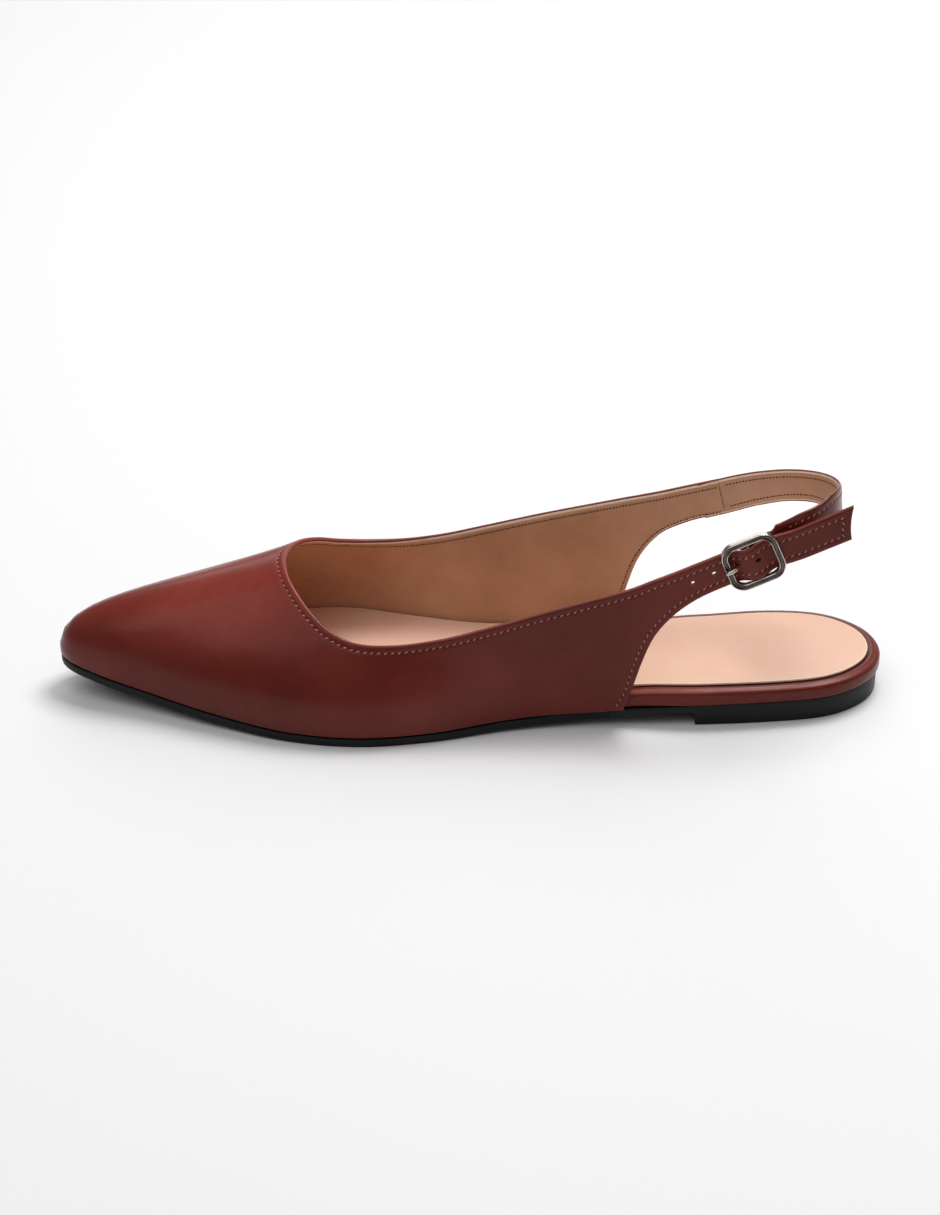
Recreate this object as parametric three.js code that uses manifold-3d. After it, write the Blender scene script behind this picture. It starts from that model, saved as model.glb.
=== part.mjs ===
// A pointed slingback flat for the left foot, made like the real one: a black moulded outsole with
// a low heel, a covered footbed with a soft insole on it, a lasted upper whose outer quarter runs
// on into a strap, a sling strap round the heel, and a centre-bar buckle with its prong.
// Millimetres: +X runs to the toe, +Y to the outer side of the foot, +Z up, and the floor is z = 0.
import * as THREE from "three";
import { mergeVertices } from "three/addons/utils/BufferGeometryUtils.js";
import Module from "manifold-3d";

// Driving dimensions
const soleLength = 255.5;
const ballWidth = 78.6;
const slingHeight = 70.8;
const footbedHeight = 13.2;
const toeSpring = 8.4;
const outsoleThickness = 3.3;
const upperWall = 1.7;
const insoleThickness = 0.8;
const strapWidth = 11.0;
const seatGap = 0.3;

// The tables below are the pattern of the model size, and these grades carry them to the sizes above
const pattern = { length: 255.5, width: 78.6, height: 70.8 };
const lengthGrade = soleLength / pattern.length;
const widthGrade = ballWidth / pattern.width;
const heightGrade = slingHeight / pattern.height;
const toeReach = 0.7 * lengthGrade;
const halfSole = (soleLength - toeReach) / 2;

// Curves through tables

function lerp(a, b, share) {
  return a + (b - a) * share;
}

// A smooth curve through the rows' values of one column, over the column `along`
function smooth(rows, along, column, at) {
  const last = rows.length - 1;
  let i = 0;
  while (i < last - 1 && at > rows[i + 1][along]) i += 1;
  const slope = (k) => (rows[k + 1][column] - rows[k][column]) / (rows[k + 1][along] - rows[k][along]);
  const tangent = (k) => {
    if (k === 0) return slope(0);
    if (k === last) return slope(last - 1);
    const before = rows[k][along] - rows[k - 1][along];
    const after = rows[k + 1][along] - rows[k][along];
    return (slope(k - 1) * after + slope(k) * before) / (before + after);
  };
  const span = rows[i + 1][along] - rows[i][along];
  const t = (at - rows[i][along]) / span;
  const a = rows[i][column];
  const b = rows[i + 1][column];
  return (
    a * (1 + 2 * t) * (1 - t) ** 2 +
    b * t * t * (3 - 2 * t) +
    tangent(i) * span * t * (1 - t) ** 2 -
    tangent(i + 1) * span * t * t * (1 - t)
  );
}

// The same for points: each row holds a Vector3 in `column`
function smoothPoint(rows, along, column, at) {
  const parts = ["x", "y", "z"].map((axis) =>
    smooth(rows.map((row) => ({ at: row[along], value: row[column][axis] })), "at", "value", at),
  );
  return new THREE.Vector3(...parts);
}

// The sole's outline, walked from the back of the heel (turn 0) by the outer side to the toe
// (turn 180) and home by the inner side. A row's side is its distance from the centreline.
const outlineRows = [
  { spot: "heel back", turn: 0, side: 0 },
  { spot: "heel corner, outer", turn: 15, side: 12.7 },
  { spot: "heel, outer", turn: 30, side: 22.1 },
  { spot: "heel widest, outer", turn: 45, side: 25.7 },
  { spot: "heel front, outer", turn: 60, side: 27.2 },
  { spot: "waist, outer", turn: 75, side: 28.0 },
  { spot: "waist front, outer", turn: 85, side: 30.8 },
  { spot: "ball back, outer", turn: 95, side: 36.4 },
  { spot: "ball, outer", turn: 105, side: 39.3 },
  { spot: "ball front, outer", turn: 115, side: 36.6 },
  { spot: "toes, outer", turn: 127, side: 28.4 },
  { spot: "toe taper, outer", turn: 141, side: 18.4 },
  { spot: "toe corner, outer", turn: 156, side: 11.0 },
  { spot: "toe round, outer", turn: 168, side: 5.8 },
  { spot: "toe tip", turn: 180, side: 0 },
  { spot: "toe round, inner", turn: 192, side: -5.8 },
  { spot: "toe corner, inner", turn: 204, side: -11.2 },
  { spot: "toe taper, inner", turn: 219, side: -19.6 },
  { spot: "toes, inner", turn: 233, side: -30.6 },
  { spot: "ball front, inner", turn: 244, side: -38.0 },
  { spot: "ball, inner", turn: 252, side: -39.3 },
  { spot: "ball back, inner", turn: 262, side: -33.0 },
  { spot: "waist front, inner", turn: 270, side: -27.0 },
  { spot: "waist, inner", turn: 280, side: -22.8 },
  { spot: "waist back, inner", turn: 293, side: -20.4 },
  { spot: "heel front, inner", turn: 305, side: -21.0 },
  { spot: "heel widest, inner", turn: 317, side: -23.4 },
  { spot: "heel, inner", turn: 330, side: -21.6 },
  { spot: "heel corner, inner", turn: 345, side: -12.7 },
];
const outlineLoop = [
  ...outlineRows.slice(-2).map((row) => ({ ...row, turn: row.turn - 360 })),
  ...outlineRows,
  ...outlineRows.slice(0, 3).map((row) => ({ ...row, turn: row.turn + 360 })),
];

// A turn's place along the sole. The pointed toe reaches a little past the even walk of the turns.
function placeAlong(turn) {
  const turned = Math.cos(THREE.MathUtils.degToRad(turn));
  return -halfSole * turned + toeReach * ((1 - turned) / 2) ** 4;
}

function turnAt(x) {
  return THREE.MathUtils.radToDeg(Math.acos(THREE.MathUtils.clamp(-x / halfSole, -1, 1)));
}

function outlinePoint(turn) {
  const side = smooth(outlineLoop, "turn", "side", turn) * widthGrade;
  return new THREE.Vector3(placeAlong(turn), side, 0);
}

function outlineNormal(turn) {
  const run = outlinePoint(turn + 0.5).sub(outlinePoint(turn - 0.5)).normalize();
  return new THREE.Vector3(-run.y, run.x, 0);
}

// A point on the outline at height z, moved outwards by `outset`
function edge(turn, z, outset = 0) {
  const point = outlinePoint(turn).addScaledVector(outlineNormal(turn), outset);
  return point.setZ(z);
}

// Heights over the floor, along the sole

const heelBreast = -69.0 * lengthGrade;
const breastLean = 0.8;
const waistRows = [
  { along: -126.7, up: 4.6 },
  { along: -69, up: 4.1 },
  { along: -46, up: 3.1 },
  { along: -22, up: 1.7 },
  { along: -2, up: 0.6 },
  { along: 14, up: 0 },
  { along: 30, up: 0 },
  { along: 46, up: 0 },
  { along: 66, up: 0.7 },
  { along: 84, up: 2.2 },
  { along: 104, up: 4.6 },
  { along: 126.7, up: toeSpring },
];
const footbedRows = [
  { along: -126.7, up: 13.2 },
  { along: -100, up: 13.1 },
  { along: -55, up: 12.6 },
  { along: -32, up: 10.6 },
  { along: -9, up: 8.1 },
  { along: 12, up: 6.8 },
  { along: 34, up: 6.2 },
  { along: 52, up: 6.3 },
  { along: 80, up: 8.2 },
  { along: 104, up: 11.2 },
  { along: 126.7, up: 14.4 },
];

function underside(x) {
  return Math.max(0, smooth(waistRows, "along", "up", x / lengthGrade));
}

function tread(x) {
  const isHeel = x < heelBreast + breastLean / 2;
  return isHeel ? 0 : underside(x);
}

function feather(x) {
  return underside(x) + outsoleThickness;
}

function footbed(x) {
  return (smooth(footbedRows, "along", "up", x / lengthGrade) * footbedHeight) / 13.2;
}

// Meshes from rings of points

// Joins rings of equal length into one closed solid. A ring that isn't shrunk to a line is capped.
function loft(rings) {
  const count = rings[0].length;
  const positions = rings.flat().flatMap((p) => [p.x, p.y, p.z]);
  const index = [];
  for (let i = 0; i < rings.length - 1; i += 1) {
    for (let j = 0; j < count; j += 1) {
      const a = i * count + j;
      const b = i * count + ((j + 1) % count);
      index.push(a, b + count, b, a, a + count, b + count);
    }
  }
  const end = (rings.length - 1) * count;
  for (let j = 1; j < count - 1; j += 1) {
    index.push(0, j, j + 1);
    index.push(end, end + j + 1, end + j);
  }
  const geometry = new THREE.BufferGeometry();
  geometry.setAttribute("position", new THREE.Float32BufferAttribute(positions, 3));
  geometry.setIndex(index);
  return tidy(geometry);
}

// Merges vertices that meet and drops the triangles that this collapses
function tidy(geometry) {
  geometry.deleteAttribute("normal");
  geometry.deleteAttribute("uv");
  const merged = mergeVertices(geometry, 1e-3);
  const old = merged.index.array;
  const kept = [];
  for (let i = 0; i < old.length; i += 3) {
    const [a, b, c] = [old[i], old[i + 1], old[i + 2]];
    if (a !== b && b !== c && c !== a) kept.push(a, b, c);
  }
  merged.setIndex(kept);
  return merged;
}

const wasm = await Module();
wasm.setup();

function toSolid(geometry) {
  const closed = tidy(geometry.clone());
  return new wasm.Manifold(
    new wasm.Mesh({
      numProp: 3,
      vertProperties: closed.attributes.position.array,
      triVerts: new Uint32Array(closed.index.array),
    }),
  );
}

function toGeometry(solid) {
  const mesh = solid.getMesh();
  const geometry = new THREE.BufferGeometry();
  geometry.setAttribute("position", new THREE.Float32BufferAttribute(mesh.vertProperties, 3));
  geometry.setIndex(Array.from(mesh.triVerts));
  return geometry;
}

// Stations for a plate: turns from the heel (0) to the toe (180), with extra ones where asked
function stations(step, extra = []) {
  const turns = [...extra];
  for (let turn = 0; turn <= 180; turn += step) turns.push(turn);
  return turns.sort((a, b) => a - b);
}

// Outsole: a sheet sole with toe spring, and a low heel block with a straight breast

const sideSwell = 0.15;
const floorBevel = 0.4;

function outsoleSection(turn) {
  const x = placeAlong(turn);
  const top = feather(x);
  const low = tread(x);
  const sideRows = [
    { outset: 0, z: top },
    { outset: sideSwell, z: lerp(top, low, 1 / 3) },
    { outset: 0, z: low + floorBevel },
    { outset: -floorBevel, z: low },
  ];
  const outer = sideRows.map((row) => edge(turn, row.z, row.outset));
  const inner = sideRows.map((row) => edge(360 - turn, row.z, row.outset));
  return [...outer, ...inner.reverse()];
}

function makeOutsole() {
  const breastTurn = turnAt(heelBreast);
  const frontTurn = turnAt(heelBreast + breastLean);
  const turns = stations(4, [breastTurn, frontTurn]).filter(
    (turn) => turn <= breastTurn || turn >= frontTurn,
  );
  return loft(turns.map(outsoleSection));
}

// Footbed: the covered board. Behind the quarters its rounded rim stands proud of the outsole, and
// further forward it lies inside the upper.

const rimProud = 1.0;
const rimRound = 1.5;
const insideUpper = -(upperWall + seatGap + 0.1);
const upperProud = 0.2;
const quarterSwell = { starts: 15, ends: 40, out: 1.3 };
const rimFront = { starts: -72, ends: -50.5 };

// How far the quarters stand out further than the vamp at the sole
function swell(turn) {
  const back = -placeAlong(turn) / lengthGrade;
  return quarterSwell.out * THREE.MathUtils.smoothstep(back, quarterSwell.starts, quarterSwell.ends);
}

function rimOutset(turn) {
  const x = placeAlong(turn) / lengthGrade;
  const share = THREE.MathUtils.smoothstep(x, rimFront.starts, rimFront.ends);
  return lerp(rimProud, insideUpper + swell(turn), share);
}

const heelDish = 1.1;
const dishBack = 40;
const dishFront = { starts: -70, ends: 0 };

// How far the footbed dips at a share of its half width, 0 on the centreline and 1 at its edge
function dish(turn, share) {
  const place = placeAlong(turn) / lengthGrade;
  const front = 1 - THREE.MathUtils.smoothstep(place, dishFront.starts, dishFront.ends);
  const back = THREE.MathUtils.smoothstep(turn, 0, dishBack);
  return heelDish * front * back * (1 - share * share);
}

function acrossSection(outerEdge, innerEdge, shares, z) {
  return shares.map((share) => {
    const point = outerEdge.clone().lerp(innerEdge, (1 - share) / 2);
    return point.setZ(z(Math.abs(share)));
  });
}

const acrossShares = [0.9, 0.5, 0, -0.5, -0.9];

function footbedSection(turn) {
  const x = placeAlong(turn);
  const low = feather(x) + seatGap;
  const high = footbed(x) - insoleThickness - seatGap;
  const out = rimOutset(turn);
  const round = Math.min(rimRound, (high - low) * 0.45);
  const under = round / 2;
  const sideRows = [
    { outset: out - round * 1.6, z: high },
    { outset: out - round * 0.5, z: high - round * 0.3 },
    { outset: out, z: high - round },
    { outset: out, z: low + under },
    { outset: out - under, z: low },
  ];
  const outer = sideRows.map((row) => edge(turn, row.z, row.outset));
  const inner = sideRows.map((row) => edge(360 - turn, row.z, row.outset));
  const middle = acrossShares.slice(1, -1);
  const top = acrossSection(inner[0], outer[0], middle, (share) => high - dish(turn, share));
  return [...outer, ...inner.reverse(), ...top];
}

function makeFootbed() {
  return loft(stations(5).map(footbedSection));
}

// Insole: the thin soft sock on the footbed

const insoleInset = { heel: 4.0, insideUpper: 0.1 };
const insetFront = { starts: -50, ends: -30 };

function insoleSection(turn) {
  const x = placeAlong(turn);
  const high = footbed(x);
  const low = high - insoleThickness;
  const share = THREE.MathUtils.smoothstep(x / lengthGrade, insetFront.starts, insetFront.ends);
  const out = rimOutset(turn) - lerp(insoleInset.heel, insoleInset.insideUpper, share);
  const outerTop = edge(turn, high, out);
  const innerTop = edge(360 - turn, high, out);
  const shares = [1, ...acrossShares.slice(1, -1), -1];
  const top = acrossSection(innerTop, outerTop, shares, (share) => high - dish(turn, share));
  const bottom = acrossSection(outerTop, innerTop, shares, (share) => low - dish(turn, share));
  return [...top, ...bottom];
}

function makeInsole() {
  return loft(stations(5).map(insoleSection));
}

// The strap's line through the buckle: s runs back along the strap, t up across it, lift outwards

const buckleCentre = new THREE.Vector3(-84.4 * lengthGrade, 25.4 * widthGrade, 56.4 * heightGrade);
const strapRun = new THREE.Vector3(-0.92, -0.06, 0.39).normalize();
const strapUp = new THREE.Vector3(0, 0, 1).addScaledVector(strapRun, -strapRun.z).normalize();
const strapOut = new THREE.Vector3().crossVectors(strapRun, strapUp).normalize();

function onStrap(s, t, lift) {
  return buckleCentre
    .clone()
    .addScaledVector(strapRun, s)
    .addScaledVector(strapUp, t)
    .addScaledVector(strapOut, lift);
}

// Places a geometry that is drawn with its x along the strap, y up it and z out of it
function strapFrame(s, t, lift) {
  const matrix = new THREE.Matrix4().makeBasis(strapRun, strapUp, strapOut);
  return matrix.setPosition(onStrap(s, t, lift));
}

// Buckle sizes
const frameLength = 18.4;
const frameHeight = 16.4;
const frameCorner = 4.4;
const barWidth = 2.1;
const frameThickness = 2.0;
const centreBarRadius = 0.8;
const centreBarDrop = -3.0;
const slingThickness = 1.2;
const runningGap = 0.3;
const bulgeReach = frameLength / 2 - barWidth;

// Outer face of the strap: under the two side bars, over the centre bar with the sling's fold on it
const strapUnderBar = -frameThickness / 2 - runningGap;
const foldOverBar = centreBarDrop + centreBarRadius + runningGap + slingThickness / 2;
const strapOverBar = foldOverBar + slingThickness / 2 + runningGap + upperWall;

function strapLift(s) {
  const place = THREE.MathUtils.clamp(s / bulgeReach, -1, 1);
  const wave = (1 + Math.cos(Math.PI * place)) / 2;
  return lerp(strapUnderBar, strapOverBar, wave);
}

// Upper: ribs from the feather edge (or the back edge, or the strap's lower edge) up to the topline.
// A rib is a cubic with a handle at each end: `rise` is the lower handle's height as a share of the
// rib's, `tuck` how far it stands out, and `lean` its share of the way across; `reach` and `sink`
// are the upper handle's shares of the way back across and down. A row without one has the plain one.
const strapStart = -12.5;
const tipEnd = 32.2;
const tipSkew = 2.2;
const tipDroop = 1.3;
const tipTaper = 0.35;
const strapStep = 2.1;

const outerWingRows = [
  { spot: "strap root", foot: [-68.4, 25.5, 43.4], top: [-66.2, 25.8, 55.0], tuck: 0.2 },
  { spot: "back edge, upper curve", foot: [-61.2, 26.2, 38.0], top: [-60.6, 26.4, 52.8], tuck: 0.3 },
  { spot: "back edge, middle curve", foot: [-55.6, 26.9, 31.2], top: [-56.6, 26.9, 51.4], tuck: 0.5 },
  { spot: "back edge, straight", foot: [-51.8, 27.5, 22.0], top: [-53.4, 27.2, 50.2], tuck: 0.7 },
  { spot: "back edge, low", foot: [-49.0, 27.9, 12.8], top: [-51.2, 27.4, 49.3], tuck: 0.9 },
];
const bodyRows = [
  { spot: "outer quarter corner", turn: 68.6, top: [-49.0, 27.6, 48.5],
    tuck: 1.2, lean: 0.2 },
  { spot: "outer quarter", turn: 80, top: [-24.0, 28.7, 41.4],
    rise: 0.36, tuck: 1.4, lean: 0.1, reach: 0.3 },
  { spot: "outer waist front", turn: 88, top: [-5.6, 30.2, 36.6],
    rise: 0.4, tuck: 1.6, lean: 0.05, reach: 0.3 },
  { spot: "outer ball back", turn: 95, top: [9.0, 31.6, 33.4],
    rise: 0.42, tuck: 1.8, reach: 0.3 },
  { spot: "outer ball", turn: 102, top: [23.0, 32.0, 31.7],
    rise: 0.45, tuck: 2.0, reach: 0.35, sink: 0.3 },
  { spot: "outer ball front", turn: 111, top: [35.0, 30.6, 31.8],
    rise: 0.47, tuck: 2.0, reach: 0.4, sink: 0.25 },
  { spot: "outer throat corner", turn: 120, top: [43.0, 27.0, 34.2],
    rise: 0.47, tuck: 2.0, reach: 0.5, sink: 0.25 },
  { spot: "outer throat side", turn: 130, top: [48.8, 21.8, 37.8],
    rise: 0.46, tuck: 1.8, reach: 0.58, sink: 0.32 },
  { spot: "outer throat round", turn: 142, top: [53.2, 15.4, 41.2],
    rise: 0.46, tuck: 1.8, reach: 0.64, sink: 0.39 },
  { spot: "outer throat front", turn: 158, top: [56.2, 8.4, 43.8],
    rise: 0.47, tuck: 2.8, reach: 0.7, sink: 0.415 },
  { spot: "throat centre", turn: 180, top: [57.2, 1.6, 45.2],
    rise: 0.49, tuck: 3.4, reach: 0.71, sink: 0.425 },
  { spot: "inner throat front", turn: 202, top: [56.0, -5.2, 45.6],
    rise: 0.48, tuck: 3.0, reach: 0.7, sink: 0.425 },
  { spot: "inner throat round", turn: 218, top: [52.6, -12.0, 44.8],
    rise: 0.46, tuck: 1.8, reach: 0.64, sink: 0.4 },
  { spot: "inner throat side", turn: 230, top: [47.4, -18.0, 42.4],
    rise: 0.46, tuck: 1.8, reach: 0.58, sink: 0.32 },
  { spot: "inner throat corner", turn: 240, top: [41.0, -22.6, 39.4],
    rise: 0.47, tuck: 2.0, reach: 0.5, sink: 0.27 },
  { spot: "inner ball front", turn: 248, top: [33.0, -26.4, 37.2],
    rise: 0.46, tuck: 2.0, reach: 0.42, sink: 0.27 },
  { spot: "inner ball", turn: 256, top: [21.0, -28.6, 36.4],
    rise: 0.43, tuck: 1.9, reach: 0.35, sink: 0.3 },
  { spot: "inner ball back", turn: 264, top: [8.0, -28.8, 38.0],
    rise: 0.4, tuck: 1.8, reach: 0.3 },
  { spot: "inner waist front", turn: 272, top: [-6.0, -27.6, 41.8],
    rise: 0.38, tuck: 2.2, lean: 0.1, reach: 0.3 },
  { spot: "inner waist", turn: 280, top: [-22.0, -26.0, 46.4],
    rise: 0.36, tuck: 2.2, lean: 0.2 },
  { spot: "inner quarter corner", turn: 291, top: [-46.0, -24.2, 52.4],
    tuck: 1.6, lean: 0.3 },
];
const innerWingRows = [
  { spot: "back edge, low", foot: [-47.6, -22.6, 13.0], top: [-48.6, -24.1, 53.0], tuck: 1.0 },
  { spot: "back edge, straight", foot: [-50.2, -23.2, 22.6], top: [-51.4, -24.0, 53.6], tuck: 0.7 },
  { spot: "back edge, middle curve", foot: [-53.8, -23.5, 32.4], top: [-55.0, -23.8, 54.4], tuck: 0.5 },
  { spot: "back edge, upper curve", foot: [-59.8, -23.5, 40.2], top: [-60.0, -23.5, 55.6], tuck: 0.3 },
  { spot: "strap root", foot: [-68.6, -23.1, 45.2], top: [-66.6, -23.1, 57.4], tuck: 0.2 },
  { spot: "sling seam", foot: [-80.2, -22.6, 48.9], top: [-77.2, -22.6, 60.1], tuck: 0 },
];

function graded([x, y, z]) {
  return new THREE.Vector3(x * lengthGrade, y * widthGrade, z * heightGrade);
}

const plain = { rise: 1 / 3, tuck: 0, lean: 1 / 3, reach: 1 / 3, sink: 1 / 3 };

function rib(foot, top, outward, row) {
  const { rise, tuck, lean, reach, sink } = { ...plain, ...row };
  const across = top.clone().sub(foot).setZ(0);
  const height = top.z - foot.z;
  return {
    foot,
    top,
    low: across.clone().multiplyScalar(lean).addScaledVector(outward, tuck).setZ(rise * height),
    high: across.clone().multiplyScalar(-reach).setZ(-sink * height),
  };
}

function footOnSole(turn) {
  return edge(turn, feather(placeAlong(turn)) + seatGap, upperProud + swell(turn));
}

// A rib of the strap. The free tip hangs a little low, tapers, and is cut on the slant at its end.
function strapRib(s) {
  const lift = strapLift(s);
  const free = THREE.MathUtils.smoothstep(s, 0, tipEnd / 2);
  const skew = tipSkew * THREE.MathUtils.smoothstep(s, tipEnd / 2, tipEnd);
  const half = strapWidth / 2 - tipTaper * free;
  const foot = onStrap(s - skew, -half - tipDroop * free, lift);
  const top = onStrap(s + skew, half - tipDroop * free, lift);
  return rib(foot, top, strapOut, {});
}

function upperRibs() {
  const ribs = [];
  for (let s = tipEnd; s > strapStart; s -= strapStep) ribs.push(strapRib(s));
  const wingOut = new THREE.Vector3(0, 1, 0);
  for (const row of outerWingRows) ribs.push(rib(graded(row.foot), graded(row.top), wingOut, row));
  const firstOnSole = ribs.length;
  for (const row of bodyRows) {
    const outward = outlineNormal(row.turn);
    const made = rib(footOnSole(row.turn), graded(row.top), outward, { lean: 0, ...row });
    ribs.push({ ...made, turn: row.turn });
  }
  const lastOnSole = ribs.length - 1;
  for (const row of innerWingRows) {
    ribs.push(rib(graded(row.foot), graded(row.top), wingOut.clone().negate(), row));
  }
  let way = 0;
  ribs.forEach((r, i) => {
    if (i > 0) way += (r.foot.distanceTo(ribs[i - 1].foot) + r.top.distanceTo(ribs[i - 1].top)) / 2;
    r.way = way;
  });
  return { ribs, firstOnSole, lastOnSole };
}

const ribSpacing = 3.2;
const stepsUp = 9;

function cubic(rib4, t) {
  const point = rib4.foot.clone().multiplyScalar((1 - t) ** 3);
  point.addScaledVector(rib4.foot.clone().add(rib4.low), 3 * t * (1 - t) ** 2);
  point.addScaledVector(rib4.top.clone().add(rib4.high), 3 * t * t * (1 - t));
  return point.addScaledVector(rib4.top, t ** 3);
}

// The upper's outer face as a grid: a column for each step along it, from the free tip round the
// toe to the sling seam. On the sole a rib's foot keeps to the outline, and elsewhere to its table.
function outerGrid() {
  const { ribs, firstOnSole, lastOnSole } = upperRibs();
  const outerWing = ribs.slice(0, firstOnSole + 1);
  const onSole = ribs.slice(firstOnSole, lastOnSole + 1);
  const innerWing = ribs.slice(lastOnSole);
  const ways = [ribs[0].way];
  for (let i = 1; i < ribs.length; i += 1) {
    const steps = Math.max(1, Math.round((ribs[i].way - ribs[i - 1].way) / ribSpacing));
    for (let k = 1; k <= steps; k += 1) ways.push(lerp(ribs[i - 1].way, ribs[i].way, k / steps));
  }
  const footAt = (way) => {
    if (way < onSole[0].way) return smoothPoint(outerWing, "way", "foot", way);
    if (way > onSole.at(-1).way) return smoothPoint(innerWing, "way", "foot", way);
    return footOnSole(smooth(onSole, "way", "turn", way));
  };
  return ways.map((way) => {
    const foot = footAt(way);
    const [top, low, high] = ["top", "low", "high"].map((name) => smoothPoint(ribs, "way", name, way));
    return Array.from({ length: stepsUp + 1 }, (_, k) => cubic({ foot, top, low, high }, k / stepsUp));
  });
}

// Moves a grid of points inwards by the wall, along its own normals
function insetGrid(grid, depth) {
  const rows = grid.length - 1;
  const cols = grid[0].length - 1;
  return grid.map((column, i) =>
    column.map((point, j) => {
      const alongRun = grid[Math.min(i + 1, rows)][j].clone().sub(grid[Math.max(i - 1, 0)][j]);
      const upRib = grid[i][Math.min(j + 1, cols)].clone().sub(grid[i][Math.max(j - 1, 0)]);
      const inward = upRib.cross(alongRun).normalize();
      return point.clone().addScaledVector(inward, -depth);
    }),
  );
}

const holeRadius = 0.8;
const prongHoleRadius = 1.2;
const holePitch = 6.9;
const prongHole = -5.65;
const holesUp = 0.2;
const cutterLength = 12;

function strapHole(s, radius) {
  const cutter = new THREE.CylinderGeometry(radius, radius, cutterLength, 10).rotateX(Math.PI / 2);
  return toSolid(cutter.applyMatrix4(strapFrame(s, holesUp, 0)));
}

function makeUpper() {
  const outer = outerGrid();
  const inner = insetGrid(outer, upperWall);
  const rings = outer.map((column, i) => [...inner[i], ...column.slice().reverse()]);
  let solid = toSolid(loft(rings));
  for (const step of [-2, -1, 0, 1]) {
    const radius = step === 0 ? prongHoleRadius : holeRadius;
    solid = solid.subtract(strapHole(prongHole + step * holePitch, radius));
  }
  return toGeometry(solid);
}

// Sling strap: from its seam on the inner quarter round the back of the heel, inside the free tip,
// round the buckle's centre bar and back to its folded end. The rows are its outer face.
const slingRows = [
  { spot: "seam", foot: [-80.5, -22.6, 49.0], top: [-77.5, -22.6, 60.2] },
  { spot: "inner side", foot: [-91.2, -22.3, 51.4], top: [-89.6, -22.4, 62.5] },
  { spot: "inner side, back", foot: [-99.6, -21.3, 52.9], top: [-99.4, -21.5, 63.6] },
  { spot: "inner corner", foot: [-107.0, -17.6, 54.0], top: [-107.0, -18.2, 64.6] },
  { spot: "back, inner", foot: [-111.6, -10.8, 55.2], top: [-111.2, -11.6, 66.4] },
  { spot: "back", foot: [-113.2, -2.6, 57.4], top: [-112.6, -3.2, 68.6] },
  { spot: "back, outer", foot: [-112.8, 5.2, 59.6], top: [-111.6, 5.2, 70.8] },
  { spot: "outer corner", foot: [-110.2, 12.2, 61.0], top: [-108.4, 12.2, 72.2] },
  { spot: "under the tip", foot: [-106.2, 17.0, 60.4], top: [-103.8, 17.3, 71.2] },
];

// The lift of a face that lies `depth` under the outer face of the strap, square to it
function underStrap(s, depth) {
  const reach = 0.1;
  const slope = (strapLift(s + reach) - strapLift(s - reach)) / (2 * reach);
  return strapLift(s) - depth * Math.hypot(1, slope);
}

// The sling's fit in the buckle, from where it goes under the tip to the centre bar. Its edges `high`
// and `low` are steps up the strap; it narrows at a shoulder by the frame's back bar. `under` is the
// clearance below the strap, in layers.
const slingFitRows = [
  { s: 18.5, high: 7.7, low: -3.1, under: 0.15 },
  { s: 14.6, high: 6.9, low: -3.9, under: 0.75 },
  { s: 11.8, high: 6.5, low: -4.3, under: 1 },
  { s: 9.7, high: 6.3, low: -4.5, under: 1 },
  { s: 9.2, high: 4.6, low: -4.6, under: 1 },
  { s: 4.4, high: 4.6, low: -4.6, under: 1 },
];
const foldWidth = 9.2;
const foldEnds = 11.2;
const foldStep = 1.6;
const prongSlot = { centre: -0.9, length: 6.8, width: 2.4, depth: 12 };
const bendSteps = 8;
const slingStep = 2.6;
const layerStep = slingThickness + runningGap;

// The sling through the buckle: places along the strap, its edges, and the lift of its middle face
function slingInBuckle() {
  const underTip = upperWall + runningGap + slingThickness / 2;
  const bend = centreBarRadius + runningGap + slingThickness / 2;
  const path = slingFitRows.map((row) => ({
    ...row,
    lift: underStrap(row.s, underTip + layerStep * row.under),
  }));
  const fold = { high: foldWidth / 2, low: -foldWidth / 2 };
  for (let k = 0; k <= bendSteps; k += 1) {
    const angle = -Math.PI / 2 - (Math.PI * k) / bendSteps;
    path.push({ ...fold, s: bend * Math.cos(angle), lift: centreBarDrop + bend * Math.sin(angle) });
  }
  for (let s = foldStep; s <= foldEnds; s += foldStep) {
    path.push({ ...fold, s, lift: underStrap(s, underTip) });
  }
  return path;
}

function makeSlingStrap() {
  const rows = slingRows.map((row) => ({ foot: graded(row.foot), top: graded(row.top) }));
  const fit = slingInBuckle().map(({ s, high, low, lift }) => ({
    foot: onStrap(s, low, lift),
    top: onStrap(s, high, lift),
  }));
  rows.push(fit[0]);
  rows.forEach((row, i) => {
    row.way = i === 0 ? 0 : rows[i - 1].way + row.foot.distanceTo(rows[i - 1].foot);
  });
  const middle = [];
  for (let way = 0; way < rows.at(-1).way - slingStep / 2; way += slingStep) {
    middle.push([smoothPoint(rows, "way", "foot", way), smoothPoint(rows, "way", "top", way)]);
  }
  for (const { foot, top } of fit) middle.push([foot, top]);
  const rings = middle.map(([foot, top], i) => {
    const before = middle[Math.max(i - 1, 0)];
    const after = middle[Math.min(i + 1, middle.length - 1)];
    const run = after[0].clone().sub(before[0]).add(after[1].clone().sub(before[1]));
    const out = run.cross(top.clone().sub(foot)).normalize().multiplyScalar(slingThickness / 2);
    return [foot.clone().add(out), top.clone().add(out), top.clone().sub(out), foot.clone().sub(out)];
  });
  const slot = new THREE.BoxGeometry(prongSlot.length, prongSlot.width, prongSlot.depth);
  slot.applyMatrix4(strapFrame(prongSlot.centre, holesUp, centreBarDrop));
  return toGeometry(toSolid(loft(rings)).subtract(toSolid(slot)));
}

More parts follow.
